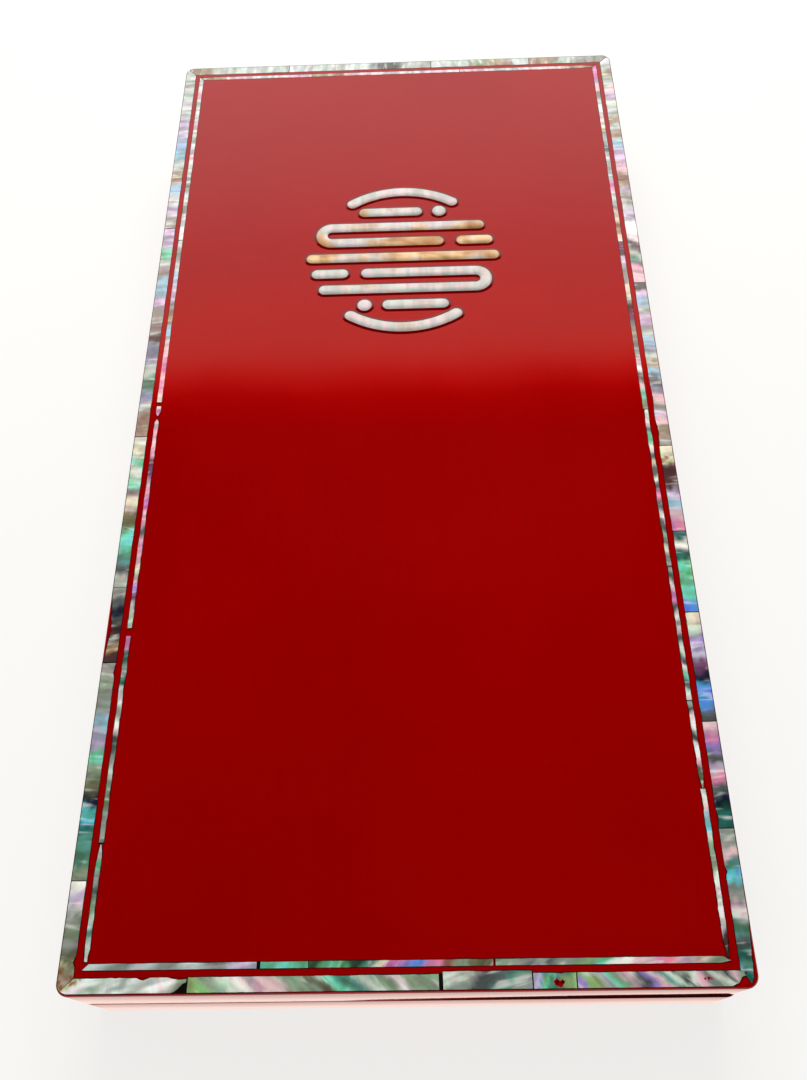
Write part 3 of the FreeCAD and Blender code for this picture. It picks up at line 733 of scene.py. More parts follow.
def cad_strips(node, side):
    """The start and end of each of a node's separate strips, along the side."""
    bm = bmesh.new()
    bm.from_mesh(frame["nodes"][node].data)
    bmesh.ops.remove_doubles(bm, verts=bm.verts, dist=SNAP)
    bm.transform(side_frame(side).inverted())
    left, spans = set(bm.verts), []
    while left:
        island, edge_of_search = set(), [left.pop()]
        while edge_of_search:
            vert = edge_of_search.pop()
            island.add(vert)
            edge_of_search += [other for edge in vert.link_edges if (other := edge.other_vert(vert)) in left]
            left.difference_update(edge_of_search)
        spans.append((min(vert.co.x for vert in island), max(vert.co.x for vert in island)))
    bm.free()
    return sorted(spans)


def mitre(bm, half):
    """Cut both ends of a side at 45 degrees."""
    for direction in (1, -1):
        bmesh.ops.bisect_plane(bm, geom=[*bm.verts, *bm.edges, *bm.faces], dist=SNAP, clear_outer=True,
                               plane_co=(direction * half, 0, 0), plane_no=(direction, 1, 0))


def flat_side(side, outer, inner):
    """One mitred side of a flat band, cut into a fine grid, lying along the front edge."""
    bm = bmesh.new()
    wall(bm, BOX, CORNER, [(outer, SHELL_TOP), (inner, SHELL_TOP)])
    bm.transform(side_frame(side).inverted())
    half = side_sizes(side)[0]
    mitre(bm, half)
    bmesh.ops.bisect_plane(bm, geom=[*bm.verts, *bm.edges, *bm.faces], plane_co=(0, inner + MM, 0),
                           plane_no=(0, 1, 0), clear_outer=True)
    bmesh.ops.reverse_faces(bm, faces=[face for face in bm.faces if face.normal.z < 0])
    long_edges = [edge for edge in bm.edges if edge.calc_length() > LONG_EDGE]
    cuts = int(2 * half / COLUMN)
    bmesh.ops.subdivide_edges(bm, edges=long_edges, cuts=cuts, use_grid_fill=True)
    rises = {edge: abs(edge.verts[0].co.y - edge.verts[1].co.y) for edge in bm.edges}
    across = [edge for edge, rise in rises.items() if rise > 0.7 * (inner - outer)]
    bmesh.ops.subdivide_edges(bm, edges=across, cuts=ROWS - 1, use_grid_fill=True)
    return bm


def saw(bm, x, lean, keep):
    """Cut the strip across and drop what lies beyond the cut. lean tilts the saw."""
    bmesh.ops.bisect_plane(bm, geom=[*bm.verts, *bm.edges, *bm.faces], dist=SNAP, plane_co=(x, 0, 0),
                           plane_no=(keep, keep * lean, 0), clear_outer=True)


print("band cutters ready")

# %% [markdown]
# ## Edges of a strip
# Shell is filed to its line by eye, so no edge is quite straight. The points of a strip are moved
# between an outer and an inner edge: both wander in slow and quick waves, dip into the chips, and
# run together where the strip ends in a point. Moving the points keeps the mesh an even grid, which
# cutting the chips out wouldn't.

# %% Shape a strip
# How far the outer and the inner edge wander, by kind of strip or for one side, and at the far end
WAVER = {"band": (0.03 * MM, 0.12 * MM), "line": (0.20 * MM, 0.30 * MM), "line_front": (0.05 * MM, 0.10 * MM),
         "line_back": (0.04 * MM, 0.08 * MM)}
FAR_WAVER = (0.04 * MM, 0.10 * MM)
FAR_STRIPS = [("line_right", 4), ("line_right", 5), ("line_left", 4), ("line_left", 5)]
WORN_RIM = {"band_front": 0.25 * MM}
SLOW_WAVE = 5 * MM
QUICK_WAVE = 1.3 * MM
CHIP_WAVE = 0.5 * MM


def waver(along, seed, reach):
    """A slow wander of a cut edge, never negative."""
    slow = noise.noise(Vector((along / SLOW_WAVE, seed, 0)))
    quick = noise.noise(Vector((along / QUICK_WAVE, seed, 5)))
    return reach * max(0.0, 0.6 + slow + 0.4 * quick)


def bitten(along, edge, chips):
    """How deep the chips on one edge reach at this place."""
    deepest = 0.0
    for chip_edge, centre, half, depth in chips:
        if chip_edge == edge:
            ragged = 1 + 0.5 * noise.noise(Vector((along / CHIP_WAVE, centre, 9)))
            deepest = max(deepest, depth * MM * ragged * max(0.0, 1 - abs(along / MM - centre) / half))
    return deepest


def shape_strip(bm, name, number, span, outer, inner, flip, grow):
    """Move the strip's rows to make its edges waver, chip and run out to points, then widen it by grow."""
    reach_out, reach_in = WAVER.get(name, WAVER[name.split("_")[0]])
    if (name, number) in FAR_STRIPS:
        reach_out, reach_in = FAR_WAVER
    wider = LIFTED.get((name, number), SEATED)[0]
    chips = [chip[1:] for chip in CHIPS.get(name, []) if chip[0] == number]
    if grow:
        chips = [chip for chip in chips if (name, number, chip[0]) not in GLUED_CHIPS]
    points = [point[1:] for point in POINTS.get(name, []) if point[0] == number]
    for vert in bm.verts:
        along = flip * vert.co.x
        share = (vert.co.y - outer) / (inner - outer)
        low = WORN_RIM.get(name, 0.0) + waver(along, number, reach_out) + bitten(along, "outer", chips)
        high = waver(along, number + 50, reach_in) + bitten(along, "inner", chips)
        low, high = outer + low, max(inner + wider - high, outer + low + LEAST_RADIUS)
        for end, reach, least, short in points:
            away = along - span[0] if end == "start" else span[1] - along
            narrow = min(1.0, least + (1 - least) * max(0.0, away / MM - short) / reach)
            low, high = ((low + high) / 2 + (edge - (low + high) / 2) * narrow for edge in (low, high))
        vert.co.y = low - grow + share * (high - low + 2 * grow)


print(f"edges wander in waves of {1000 * SLOW_WAVE:.0f} and {1000 * QUICK_WAVE:.1f} mm")

# %% [markdown]
# ## Colour along a strip
# The names of a strip are spread evenly over its length, and each patch passes softly into the next.
# The border between two patches leans with the grain and wavers a little, as layers of nacre do. The
# colours are stored at the corners of the faces, so no picture is needed.

# %% Colour a strip
BLEND_START = 0.25
BLEND_WIDTH = 0.5
GRAIN_LEAN = 1.2
PATCH_DRIFT = 2.2 * MM
DRIFT_WAVE = (4 * MM, 2 * MM)
STRIP_STRIDE = Vector((61, 17))


def nacre_at(names, share):
    """The colour and stain at a share of the strip's length. One patch passes softly into the next."""
    where = min(max(share, 0.0), 1.0) * len(names) - 0.5
    first = min(max(math.floor(where), 0), len(names) - 1)
    blend = min(max((where - first - BLEND_START) / BLEND_WIDTH, 0.0), 1.0)
    ends = (names[first], names[min(first + 1, len(names) - 1)])
    one, other = ((*tint(*PATCHES[end])[:3], STAINED.get(end, 0)) for end in ends)
    return [a + (b - a) * blend for a, b in zip(one, other)]


def grain_angle(name, number):
    """Degrees by which this strip's grain leans from straight across."""
    listed = GRAIN.get(name, [])
    if number < len(listed):
        return listed[number]
    return GRAIN_SPREAD * noise.noise(Vector((number * 2.3, len(name), 4.5)))


def paint_strip(bm, name, number, span, middle, patches, flip):
    """Give each face corner its place in the shell's grain and its patch of nacre."""
    grain = bm.loops.layers.uv.new("grain")
    patch = bm.loops.layers.float_color.new("patch")
    names = patches.split()
    angle = math.radians(grain_angle(name, number))
    turn = Matrix.Rotation(angle, 2)
    slope = min(max(math.tan(angle), -GRAIN_LEAN), GRAIN_LEAN)
    for face in bm.faces:
        for loop in face.loops:
            x, y, _ = loop.vert.co
            loop[grain].uv = turn @ Vector((x / MM, y / MM)) + STRIP_STRIDE * number
            waves = Vector((x / DRIFT_WAVE[0], y / DRIFT_WAVE[1], number * 3.1))
            drift = PATCH_DRIFT * noise.noise(waves)
            place = flip * (x - (y - middle) * slope) + drift
            loop[patch] = nacre_at(names, (place - span[0]) / (span[1] - span[0]))


print(len(PATCHES), "colours of nacre")

# %% [markdown]
# ## All the strips
# Each strip is sawn from its own copy of the side's band, shaped, made solid down to the bottom of
# its groove, and coloured. Its rim is a little lower than its middle, as polishing leaves it. Under
# each strip lies a second, slightly wider one of dark glue, which shows as a fine line round the shell.

# %% Saw, shape, thicken and colour each side
SAW_LEAN = 0.06
GLUE_RIM = 0.18 * MM
GLUE_TOP = LID_TOP + 0.006 * MM
MITRE_GAP = 0.10 * MM


def shell_side(kind, side, outer, inner, descriptions):
    """All the strips of one side as one piece, and the dark glue round them as another."""
    name = f"{kind}_{side}"
    flip = 1 if side in ("front", "right") else -1
    half = side_sizes(side)[0]
    spans = sorted(tuple(sorted((flip * start, flip * end))) for start, end in cad_strips(name, side))
    ends = [Vector((number * 3.7, TURNS[side], 1)) for number in range(len(spans) + 1)]
    leans = [SAW_LEAN * noise.noise(end) for end in ends]
    blank = flat_side(side, outer, inner)
    for part, grow, top, gap in (("shell", 0.0, SHELL_TOP, MITRE_GAP), ("glue", GLUE_RIM, GLUE_TOP, 0.0)):
        whole, strip_mesh = bmesh.new(), bpy.data.meshes.new(name)
        for number, (span, patches) in enumerate(zip(spans, descriptions)):
            bm = blank.copy()
            if gap:
                mitre(bm, half - gap)
            short = {end: cut * MM for index, end, _, _, cut in POINTS.get(name, []) if index == number}
            if number or short.get("start"):
                saw(bm, flip * (span[0] - grow + short.get("start", 0.0)), leans[number], -flip)
            if number < len(spans) - 1 or short.get("end"):
                fill = GLUED_JOINTS.get((name, number), 0.0) if grow else 0.0
                saw(bm, flip * (span[1] + grow + fill - short.get("end", 0.0)), leans[number + 1], flip)
            shape_strip(bm, name, number, span, outer, inner, flip, grow)
            crown = top + (LIFTED.get((name, number), SEATED)[1] if part == "shell" else 0)
            for vert in bm.verts:
                vert.co.z = crown - (SHELL_PILLOW if part == "shell" and vert.is_boundary else 0)
            bmesh.ops.solidify(bm, geom=bm.faces, thickness=crown - LID_TOP + GROOVE)
            if part == "shell":
                paint_strip(bm, name, number, span, (outer + inner) / 2, patches, flip)
            bm.to_mesh(strip_mesh)
            bm.free()
            whole.from_mesh(strip_mesh)
        bpy.data.meshes.remove(strip_mesh)
        whole.transform(side_frame(side))
        if part == "shell":
            finish_piece(f"{name}_shell", whole, "lid", "abalone_shell", ABALONE, stands_for=[name])
        else:
            finish_piece(f"{name}_glue", whole, "lid", "black_lacquer", BLACK)
    blank.free()


for side in SIDES:
    shell_side("band", side, RIM, BAND_INNER, BAND[side])
    shell_side("line", side, LINE_OUTER, LINE_INNER, LINE[side])

# %% [markdown]
# ## Drops of lacquer
# A few drops of red lacquer have dried on the front band. Each is a ragged little disc: a circle
# with its points moved in and out by noise, and then drawn up.

# %% Drops of lacquer on the band
# Place along X, place across the band, and size, in mm
DROPS = [(32.3, 1.9, 0.55), (33.0, 1.6, 0.75), (33.7, 1.9, 0.45), (63.6, 2.1, 0.22), (64.4, 2.2, 0.34),
         (65.0, 2.1, 0.20)]
DROP_CORNERS = 9
DROP_SUNK = 0.05 * MM
DROP_HEIGHT = 0.09 * MM
DROP_RAGGED = 0.9


def lacquer_drops():
    """All the drops, as one piece."""
    whole = bmesh.new()
    for number, (x, y, size) in enumerate(DROPS):
        centre = Vector((x * MM, y * MM - HALF_Y, SHELL_TOP - DROP_SUNK))
        rim = bmesh.ops.create_circle(whole, cap_ends=True, segments=DROP_CORNERS, radius=size * MM,
                                      matrix=Matrix.Translation(centre))["verts"]
        for vert in rim:
            away = (vert.co - centre) / (size * MM)
            ragged = 1 + DROP_RAGGED * noise.noise(away * 1.7 + Vector((number * 5, 0, 0)))
            vert.co = centre + (vert.co - centre) * ragged
        disc = list(rim[0].link_faces)
        made = bmesh.ops.extrude_face_region(whole, geom=disc, use_keep_orig=True)["geom"]
        for item in made:
            if isinstance(item, bmesh.types.BMVert):
                item.co.z += DROP_HEIGHT
    finish_piece("lacquer_drops", whole, "lid", "red_lacquer", RED)


lacquer_drops()

# %% [markdown]
# ## Pearl
# The crest is a calmer shell than the band: white with hints of rose and green, and tan in the rows
# near its middle. Fine steps of grey cross it, where layers of nacre end at the polished surface. So
# two ramps of colour share one noise, and the place along the lid, blurred by a second noise,
# decides between them.

# %% Pearl finish
CREST_MIDDLE = (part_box("crest_middle_bar")[0].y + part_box("crest_middle_bar")[1].y) / 2
TAN_ROWS = 5.0 * MM
TAN_EDGES = (14 * MM, 3 * MM)
WHITES = ((0.25, tint(204, 186, 166)), (0.40, tint(214, 210, 200)), (0.50, tint(190, 208, 200)),
          (0.60, tint(216, 200, 196)), (0.70, tint(198, 206, 210)), (0.80, tint(220, 216, 206)))
TANS = ((0.30, tint(176, 134, 84)), (0.50, tint(208, 172, 118)), (0.70, tint(220, 198, 154)))


def pearl():
    """Pale nacre, tan near the middle of the crest."""
    material, graph = new_finish("pearl")
    where = graph.place()
    flow = graph.noise(graph.place(scale=(0.5, 1.0, 1.0), turn=12), 200.0, detail=1.5, distortion=0.8)
    steps = graph.noise(graph.place(scale=(1.0, 0.15, 1.0)), 380.0, detail=2.0)
    row = graph.node("ShaderNodeSeparateXYZ", sockets={0: where}, out="Y")
    middle = abs(row - (CREST_MIDDLE + TAN_ROWS)).step(*TAN_EDGES)
    warm = middle * 0.22 + graph.noise(where, 70.0, detail=2.0)
    nacre = graph.mix(warm.step(0.58, 0.78), graph.ramp(flow, *WHITES), graph.ramp(flow, *TANS))
    shade = 0.72 + steps.step(0.35, 0.65) * 0.20 + flow.step(0.40, 0.62) * 0.08
    colour = graph.mix(1.0, nacre, grey(graph, shade), blend="MULTIPLY")
    relief = graph.bump(flow + steps * 0.4, NACRE_RELIEF, strength=0.5)
    graph.surface(Base_Color=colour, Roughness=0.16 + steps * 0.14, Metallic=0.08, Normal=relief, IOR=1.6)
    return material


PEARL = pearl()
print("finish:", PEARL.name)

# %% [markdown]
# ## The crest
# Eleven bars of pearl stand a little proud of the lid, in the circle that the CAD nodes draw. Each
# bar keeps its CAD outline: the node's underside is lifted off as one face, drawn up as a low wall
# and then crowned by a row of insets that follow a quarter ellipse, like a pebble worn smooth.
#
# Lacquer was brushed up against the bars after they were set, so a low ridge of it runs round each.
# The same outline makes it: set out, drawn up by a hair, and raised again over the bar's own width,
# which leaves a slope down to the lid. Its darker red is painted shade round the bars.

# %% Crest
CREST_SHOULDER = 0.12 * MM
CREST_CROWN = 1.35 * MM
CROWN_STEPS = 6
RIDGE_WIDTH = 0.80 * MM
RIDGE_HEIGHT = 0.24 * MM
RIDGE_FOOT = 0.003 * MM
LEVEL = 0.01 * MM


def crest_outline(node):
    """The underside of a crest node as one face."""
    bm = bmesh.new()
    bm.from_mesh(frame["nodes"][node].data)
    bmesh.ops.remove_doubles(bm, verts=bm.verts, dist=SNAP)
    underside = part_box(node)[0].z + LEVEL
    above = [face for face in bm.faces if face.calc_center_median().z > underside]
    bmesh.ops.delete(bm, geom=above, context="FACES")
    bmesh.ops.dissolve_limit(bm, angle_limit=math.radians(1), verts=bm.verts, edges=bm.edges,
                             use_dissolve_boundaries=False)
    return bm


def draw_up(bm, z):
    """Extrude the one face to a height and give its new top."""
    raised = bmesh.ops.extrude_face_region(bm, geom=bm.faces[:], use_keep_orig=True)["geom"]
    for item in raised:
        if isinstance(item, bmesh.types.BMVert):
            item.co.z = z
    return [item for item in raised if isinstance(item, bmesh.types.BMFace)]


def crest_bar(node):
    """One bar of pearl with a round back."""
    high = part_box(node)[1].z
    shoulder = LID_TOP + CREST_SHOULDER
    bm = crest_outline(node)
    top = draw_up(bm, shoulder)
    inset = 0.0
    for step in range(1, CROWN_STEPS + 1):
        angle = math.pi / 2 * step / CROWN_STEPS
        next_inset = CREST_CROWN * (1 - math.cos(angle))
        bmesh.ops.inset_region(bm, faces=top, thickness=next_inset - inset, depth=0, use_even_offset=True,
                               use_boundary=True)
        for vert in {vert for face in top for vert in face.verts}:
            vert.co.z = shoulder + (high - shoulder) * math.sin(angle)
        inset = next_inset
    finish_piece(f"{node}_pearl", bm, "lid", "pearl_shell", PEARL, stands_for=[node], sharp=60)


def set_out(bm, reach):
    """Move the outline of the one flat face outwards."""
    bm.faces.ensure_lookup_table()
    face = bm.faces[0]
    moves = {}
    for loop in face.loops:
        before = (loop.vert.co - loop.link_loop_prev.vert.co).normalized()
        after = (loop.link_loop_next.vert.co - loop.vert.co).normalized()
        along = (before + after).normalized()
        moves[loop.vert] = along.cross(face.normal) * reach / max(0.5, along.dot(before))
    for vert, move in moves.items():
        vert.co += move


def crest_ridge(node):
    """The ridge of lacquer round one bar, which slopes down to the lid. Its darker red is painted shade."""
    bm = crest_outline(node)
    bm.normal_update()
    set_out(bm, RIDGE_WIDTH)
    top = draw_up(bm, LID_TOP + RIDGE_FOOT)
    bmesh.ops.inset_region(bm, faces=top, thickness=RIDGE_WIDTH, depth=0, use_even_offset=True,
                           use_boundary=True)
    for vert in {vert for face in top for vert in face.verts}:
        vert.co.z = LID_TOP + RIDGE_HEIGHT
    finish_piece(f"{node}_ridge", bm, "lid", "red_lacquer", RIDGE_PAINTED_SHADE, sharp=12)


for node in frame["record"]["behaviour"]["bodies"]["lid"]:
    if node.startswith("crest_"):
        crest_bar(node)
        crest_ridge(node)

# %% [markdown]
# ## The trays and the baseboard
# Under the lid everything is black lacquer. Each brush tray is one more walled section, and the
# baseboard is a plain panel under a mat with two rounded openings. An opening is a wall of its own,
# and the space between the mat's outline and its openings is filled with triangle_fill.

# %% Trays and baseboard
BOARD_ROUND = 0.5 * MM
SEAT_GAP = 0.5 * MM
SEAT_ROUND = 0.7 * MM
STONE_CORNER = 6.0 * MM
DROPPER_CORNER = 5.0 * MM


def span(*nodes):
    """The half sizes, centre, bottom and top of several CAD nodes together."""
    lows, highs = zip(*(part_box(node) for node in nodes))
    low = [min(corner[axis] for corner in lows) for axis in range(3)]
    high = [max(corner[axis] for corner in highs) for axis in range(3)]
    half = [(high[axis] - low[axis]) / 2 for axis in (0, 1)]
    centre = [(high[axis] + low[axis]) / 2 for axis in (0, 1)]
    return half, centre, low[2], high[2]


def outer_section(bottom, top, soft):
    """The outside of a board or tray: an eased foot, an upright side and an eased top edge."""
    return bend((soft, bottom), (0, bottom + soft), upright_first=False) + \
        bend((0, top - soft), (soft, top), upright_first=True)


def brush_tray(hand):
    """One tray, with eased edges and a rounded floor."""
    parts = ("floor", "outer_side", "inner_side", "front_end", "back_end")
    nodes = [f"brush_tray_{hand}_{part}" for part in parts]
    half, centre, bottom, top = span(*nodes)
    board = 2 * span(nodes[1])[0][0]
    floor = span(nodes[0])[3]
    section = outer_section(bottom, top, BOARD_ROUND)
    section += bend((board - BOARD_ROUND, top), (board, top - BOARD_ROUND), upright_first=False)
    section += bend((board, floor + 2 * BOARD_ROUND), (board + 2 * BOARD_ROUND, floor), upright_first=True)
    bm = bmesh.new()
    foot, inside = wall(bm, half, 3 * BOARD_ROUND, section, centre)
    cap(bm, foot)
    cap(bm, inside)
    finish_piece(f"brush_tray_{hand}_lacquer", bm, f"brush_tray_{hand}", "black_lacquer", BLACK,
                 stands_for=nodes)


def baseboard_panel():
    """The plain lower board."""
    bm = bmesh.new()
    half, centre, bottom, top = span("baseboard_panel")
    foot, brim = wall(bm, half, BOARD_ROUND, outer_section(bottom, top, BOARD_ROUND / 2), centre)
    cap(bm, foot)
    cap(bm, brim)
    finish_piece("baseboard_panel_lacquer", bm, "baseboard", "black_lacquer", BLACK,
                 stands_for=["baseboard_panel"])


def baseboard_mat():
    """The upper board, with an opening for the inkstone and one for the water dropper."""
    bm = bmesh.new()
    half, centre, bottom, top = span("baseboard_mat")
    foot, brim = wall(bm, half, BOARD_ROUND, outer_section(bottom, top, BOARD_ROUND), centre)
    openings = []
    for node, corner in (("inkstone", STONE_CORNER), ("water_dropper_shell", DROPPER_CORNER)):
        seat_half, seat_centre = span(node)[:2]
        section = bend((-SEAT_ROUND, top), (0, top - SEAT_ROUND), upright_first=False) + [(0, bottom)]
        roomy = [reach + SEAT_GAP for reach in seat_half]
        openings.append(wall(bm, roomy, corner + SEAT_GAP, section, seat_centre))
    cap(bm, brim, *[opening[0] for opening in openings])
    cap(bm, foot, *[opening[1] for opening in openings])
    finish_piece("baseboard_mat_lacquer", bm, "baseboard", "black_lacquer", BLACK,
                 stands_for=["baseboard_mat"])


for hand in ("left", "right"):
    brush_tray(hand)
baseboard_panel()
baseboard_mat()

# %% [markdown]
# ## The inkstone
# An inkstone is cut from fine slate. Ink is ground on the level field and runs down a slope into
# the well. The section makes the slab, its rim and a level floor. Then the floor is cut across every
# few millimetres, and its points are sunk along a smooth curve that is the slope.

# %% Slate finish and inkstone
STONE_RIM = 5.0 * MM
STONE_ROUND = 1.1 * MM
STONE_GRIT = 0.12 * MM
FIELD_DEPTH = 1.5 * MM
WELL_DEPTH = 7.5 * MM
WELL_LENGTH = 34.0 * MM
WELL_FLOOR = 14.0 * MM
WELL_CUTS = 22


def slate():
    """Dark slate, faintly layered, with a few pale flecks."""
    material, graph = new_finish("slate")
    layers = graph.noise(graph.place(scale=(0.4, 1.0, 2.0), turn=20), 60.0, detail=6.0, distortion=0.4)
    grit = graph.noise(graph.place(), 1800.0, detail=2.0)
    fleck = graph.noise(graph.place(), 700.0, detail=1.0).step(0.70, 0.78)
    stone = graph.mix(layers.step(0.3, 0.72), tint(38, 36, 42), tint(62, 56, 62))
    worn = graph.mix(fleck * 0.35, stone, tint(120, 112, 104))
    relief = graph.bump(layers * 0.7 + grit * 0.3, STONE_GRIT, strength=0.6)
    graph.surface(Base_Color=worn, Roughness=0.48 + grit * 0.2, Normal=relief)
    return material


def inkstone(finish):
    """The slab with its rim, its level field and its well."""
    half, centre, bottom, top = span("inkstone")
    soft = STONE_ROUND
    section = outer_section(bottom, top, soft)
    section += bend((STONE_RIM - soft, top), (STONE_RIM, top - soft), upright_first=False)
    field = (STONE_RIM + soft / 2, top - FIELD_DEPTH)
    section += bend((STONE_RIM, top - soft), field, upright_first=True)[1:]
    bm = bmesh.new()
    foot, middle = wall(bm, half, STONE_CORNER, section, centre)
    cap(bm, foot)
    cap(bm, middle)
    back = centre[1] + half[1] - STONE_RIM
    lip, floor_start = back - WELL_LENGTH, back - WELL_FLOOR
    for cut in range(WELL_CUTS + 1):
        y = lip + (floor_start - lip) * cut / WELL_CUTS
        bmesh.ops.bisect_plane(bm, geom=[*bm.verts, *bm.edges, *bm.faces], plane_co=(0, y, 0),
                               plane_no=(0, 1, 0))
    for vert in bm.verts:
        if abs(vert.co.z - (top - FIELD_DEPTH)) < LEVEL and vert.co.y > lip:
            share = min(1.0, (vert.co.y - lip) / (floor_start - lip))
            vert.co.z -= (WELL_DEPTH - FIELD_DEPTH) * share * share * (3 - 2 * share)
    finish_piece("inkstone_slate", bm, "inkstone", "ink_stone", finish, stands_for=["inkstone"])


inkstone(slate())

# %% [markdown]
# ## The water dropper
# A small brass flask feeds the inkstone drop by drop through one hole while air enters by another.
# It is hollow, so it is made of an outer and an inner skin, joined round the foot and through the
# two holes, and a plate closes it below. The brass has darkened unevenly and is bright where fingers
# rub it.

# %% Brass finish and water dropper
BRUSHED = 0.01 * MM
DROPPER_WALL = 1.5 * MM
DROPPER_ROUND = 2.4 * MM
HOLE_RADIUS = 1.3 * MM
HOLE_STEPS = 28
SPOUT_INSET = 7.0 * MM


def brass():
    """Brushed brass that has darkened in clouds."""
    material, graph = new_finish("dark_brass")
    patina = graph.noise(graph.place(), 95.0, detail=5.0, distortion=0.5)
    brushed = graph.noise(graph.place(scale=(0.08, 1.0, 1.0)), 1500.0, detail=2.0)
    colour = graph.mix(patina.step(0.36, 0.64), tint(112, 78, 38), tint(176, 136, 74))
    relief = graph.bump(brushed, BRUSHED)
    graph.surface(Base_Color=colour, Metallic=1.0, Roughness=0.24 + patina * 0.22 + brushed * 0.06,
                  Normal=relief)
    return material


def dropper_shell(finish):
    """The hollow body with its pouring hole and its air hole."""
    half, centre, bottom, top = span("water_dropper_shell")
    ceiling = top - DROPPER_WALL
    bm = bmesh.new()
    shoulder = bend((0, top - DROPPER_ROUND), (DROPPER_ROUND, top), upright_first=True, steps=8)
    foot, crown = wall(bm, half, DROPPER_CORNER, [(0, bottom)] + shoulder, centre)
    inside = [(DROPPER_WALL, bottom), (DROPPER_WALL, ceiling)]
    inner_foot, roof = wall(bm, half, DROPPER_CORNER, inside, centre)
    mouths, throats = [], []
    for x in (0.0, half[0] - SPOUT_INSET):
        place = Matrix.Translation((centre[0] + x, centre[1], top))
        circle = bmesh.ops.create_circle(bm, cap_ends=False, segments=HOLE_STEPS, radius=HOLE_RADIUS,
                                         matrix=place)["verts"]
        mouth = list({edge for vert in circle for edge in vert.link_edges})
        tube = bmesh.ops.extrude_edge_only(bm, edges=mouth)["geom"]
        for item in tube:
            if isinstance(item, bmesh.types.BMVert):
                item.co.z = ceiling
        mouths.append(mouth)
        edges = [item for item in tube if isinstance(item, bmesh.types.BMEdge)]
        throats.append([edge for edge in edges if len(edge.link_faces) == 1])
    cap(bm, foot, inner_foot)
    cap(bm, crown, *mouths)
    cap(bm, roof, *throats)
    finish_piece("water_dropper_brass", bm, "water_dropper", "dark_brass", finish,
                 stands_for=["water_dropper_shell"])


def dropper_plate(finish):
    """The plate that closes the body from below."""
    half, centre, bottom, top = span("water_dropper_plate")
    bm = bmesh.new()
    low, high = wall(bm, half, DROPPER_CORNER - DROPPER_WALL, [(0, bottom), (0, top)], centre)
    cap(bm, low)
    cap(bm, high)
    finish_piece("water_dropper_plate_brass", bm, "water_dropper", "dark_brass", finish,
                 stands_for=["water_dropper_plate"])


BRASS = brass()
dropper_shell(BRASS)
dropper_plate(BRASS)

# %% [markdown]
# ## The camera
# The box is seen from above its near end, through a fairly wide lens, so that its far end looks much
# narrower. The camera's tilt, turn and roll are given as angles and made into one matrix.

# %% Camera
CAMERA_PLACE = (0.00693, -0.17413, 0.27151)
CAMERA_PITCH, CAMERA_YAW, CAMERA_ROLL = (math.radians(angle) for angle in (-60.92, -2.713, -3.648))
CAMERA_LENS = 34.37
FILM_WIDTH = 36


def camera():
    """The camera of the main picture."""
    data = bpy.data.cameras.new("camera")
    data.lens = CAMERA_LENS
    data.sensor_width = FILM_WIDTH
    data.clip_start = 0.01
    seat = bpy.data.objects.new("camera", data)
    aim = Matrix.Rotation(-CAMERA_YAW, 4, "Z") @ Matrix.Rotation(math.pi / 2 + CAMERA_PITCH, 4, "X")
    seat.matrix_world = Matrix.Translation(CAMERA_PLACE) @ aim @ Matrix.Rotation(CAMERA_ROLL, 4, "Z")
    bpy.context.scene.collection.objects.link(seat)
    bpy.context.scene.camera = seat


camera()
print(f"camera with a {CAMERA_LENS} mm lens")

# %% [markdown]
# ## The studio
# The camera sees plain white behind the box, and two soft lamps and a faint even light shine on it.
# Polished lacquer shows what it mirrors as much as its own colour, so gloss gets a surround of its
# own. That one isn't plain light: it is pale low down, grows redder and brighter than white upwards,
# and ends in black above a soft level edge. The lid mirrors it as a milky far half with that edge
# across, and the near wall mirrors a floor that is warm and a little brighter than white.

# %% World
# What gloss sees, by the sine of the height along walls that face the ends of the box. Past its
# sides the plain height takes over, so the wall goes all the way round.
ROUND_THE_SIDES = 1.05
WALL_LEVEL = 4.0
SOFT_LEVEL = 0.40
STUDIO_WALL = ((0.20, (0.25, 0.24, 0.24, 1)), (0.545, (0.40, 0.32, 0.31, 1)),
               (0.620, (0.405, 0.300, 0.290, 1)), (0.660, (0.43, 0.262, 0.255, 1)),
               (0.710, (0.50, 0.187, 0.177, 1)), (0.762, (0.84, 0.153, 0.130, 1)),
               (0.774, (0.92, 0.118, 0.092, 1)), (0.786, (0.84, 0.030, 0.025, 1)),
               (0.798, (0.35, 0.0, 0.0, 1)), (0.814, (0.0, 0.0, 0.0, 1)))


def world():
    """White for the camera, the studio wall for gloss, and a soft even light for the rest."""
    surround = bpy.data.worlds.new("surround")
    surround.use_nodes = True
    bpy.context.scene.world = surround
    graph = Graph(surround.node_tree)
    direction = graph.node("ShaderNodeTexCoord", out="Generated")
    y, z = (graph.node("ShaderNodeSeparateXYZ", sockets={0: direction}, out=axis) for axis in "YZ")
    along_wall = z / (y * y + z * z) ** 0.5
    glow = graph.ramp(along_wall.math("MINIMUM", along_wall, z * ROUND_THE_SIDES), *STUDIO_WALL)
    camera_ray, glossy_ray = light_paths(graph)
    seen = graph.node("ShaderNodeBackground", sockets={"Color": (1, 1, 1, 1), "Strength": 1.0})
    mirrored = graph.node("ShaderNodeBackground", sockets={"Color": glow, "Strength": WALL_LEVEL})
    soft = graph.node("ShaderNodeBackground", sockets={"Color": (1, 1, 1, 1), "Strength": SOFT_LEVEL})
    lit = graph.node("ShaderNodeMixShader", sockets={0: glossy_ray, 1: soft, 2: mirrored})
    both = graph.node("ShaderNodeMixShader", sockets={0: camera_ray, 1: lit, 2: seen})
    graph.node("ShaderNodeOutputWorld", sockets={"Surface": both})


bpy.context.scene.view_settings.view_transform = "Standard"
world()
print(f"gloss sees a wall of {len(STUDIO_WALL)} tones at a strength of {WALL_LEVEL}")

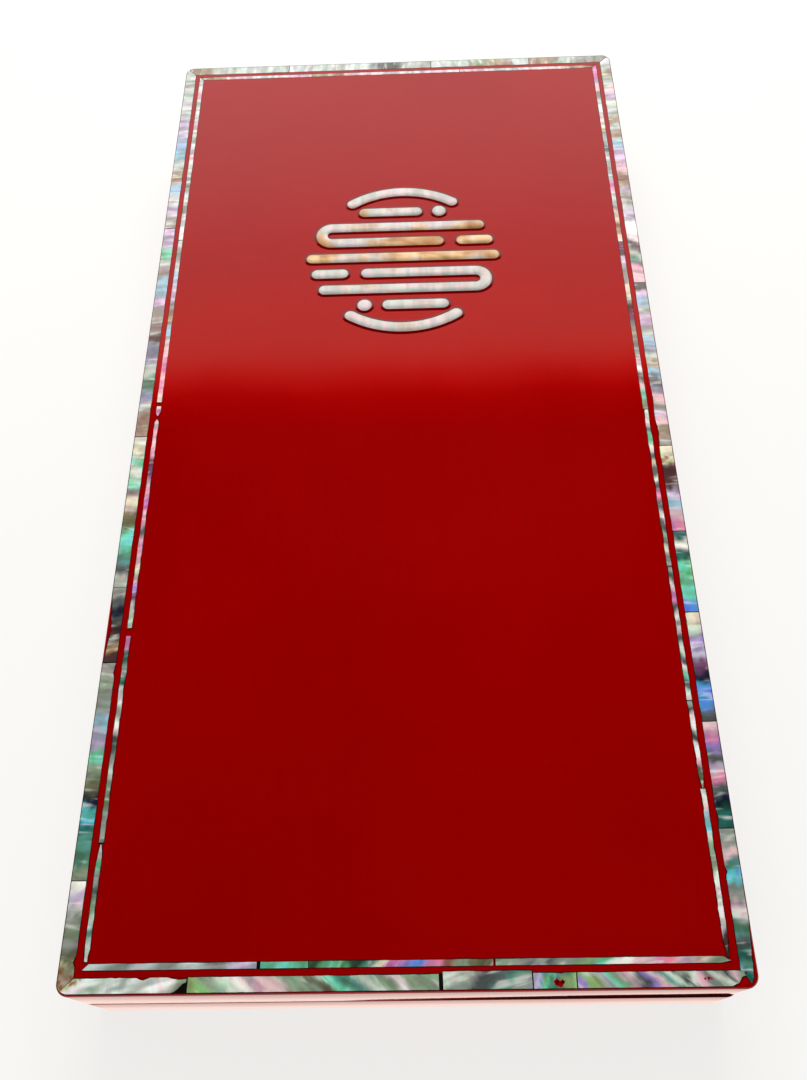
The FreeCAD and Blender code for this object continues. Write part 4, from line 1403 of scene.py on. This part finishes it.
# %% [markdown]
# ## Lamps and floor
# Two large round soft boxes light the box: a near one high over the left, and a lower one behind the
# far end. Neither can be seen or mirrored, so they shape the light and leave no spot in the gloss.
# The floor is a sheet of paper that holds the shadow. In the main view it passes into the white
# behind it, and from low down its far edge shows faintly.

# %% Lamps and floor
FLOOR_HALF = 4
FLOOR_GLOW = 0.75
FLOOR_MIRROR = 0.9
MIRROR_LEVEL = 1.38


def lamp(name, place, aim, size, power):
    """A round soft box at a place, aimed at a point. It lights, but isn't seen or mirrored."""
    data = bpy.data.lights.new(name, "AREA")
    data.shape = "DISK"
    data.size, data.energy = size, power
    seat = bpy.data.objects.new(name, data)
    turn = (Vector(aim) - Vector(place)).to_track_quat("-Z", "Y").to_matrix().to_4x4()
    seat.matrix_world = Matrix.Translation(place) @ turn
    seat.visible_glossy = False
    seat.visible_camera = False
    bpy.context.scene.collection.objects.link(seat)


def floor():
    """Pale paper that keeps the box's shadow. It glows softly for the camera and warmly for gloss."""
    material, graph = new_finish("paper_floor")
    camera_ray, glossy_ray = light_paths(graph)
    paper = graph.noise(graph.place(), 6.0, detail=3.0)
    colour = graph.mix(paper, tint(232, 228, 221), tint(238, 235, 230))
    matte = graph.node("ShaderNodeBsdfDiffuse", sockets={"Color": colour})
    bright = graph.node("ShaderNodeEmission", sockets={"Color": (1, 1, 0.985, 1), "Strength": 1.0})
    warm = graph.node("ShaderNodeEmission",
                      sockets={"Color": tint(255, 226, 216), "Strength": MIRROR_LEVEL})
    shown = graph.node("ShaderNodeMixShader", sockets={0: camera_ray * FLOOR_GLOW, 1: matte, 2: bright})
    shader = graph.node("ShaderNodeMixShader", sockets={0: glossy_ray * FLOOR_MIRROR, 1: shown, 2: warm})
    graph.node("ShaderNodeOutputMaterial", sockets={"Surface": shader})
    bm = bmesh.new()
    bmesh.ops.create_grid(bm, x_segments=1, y_segments=1, size=FLOOR_HALF)
    mesh = bpy.data.meshes.new("floor")
    bm.to_mesh(mesh)
    bm.free()
    mesh.materials.append(material)
    ground = bpy.data.objects.new("floor", mesh)
    bpy.context.scene.collection.objects.link(ground)


lamp("far_softbox", (0.02, 0.45, 0.50), (0, 0.10, 0), 0.5, 4.2)
lamp("near_softbox", (-0.35, -0.5, 0.9), (0, 0, 0), 0.8, 2.0)
floor()
print(f"{len(bpy.data.lights)} lamps, and a floor of {2 * FLOOR_HALF} m")
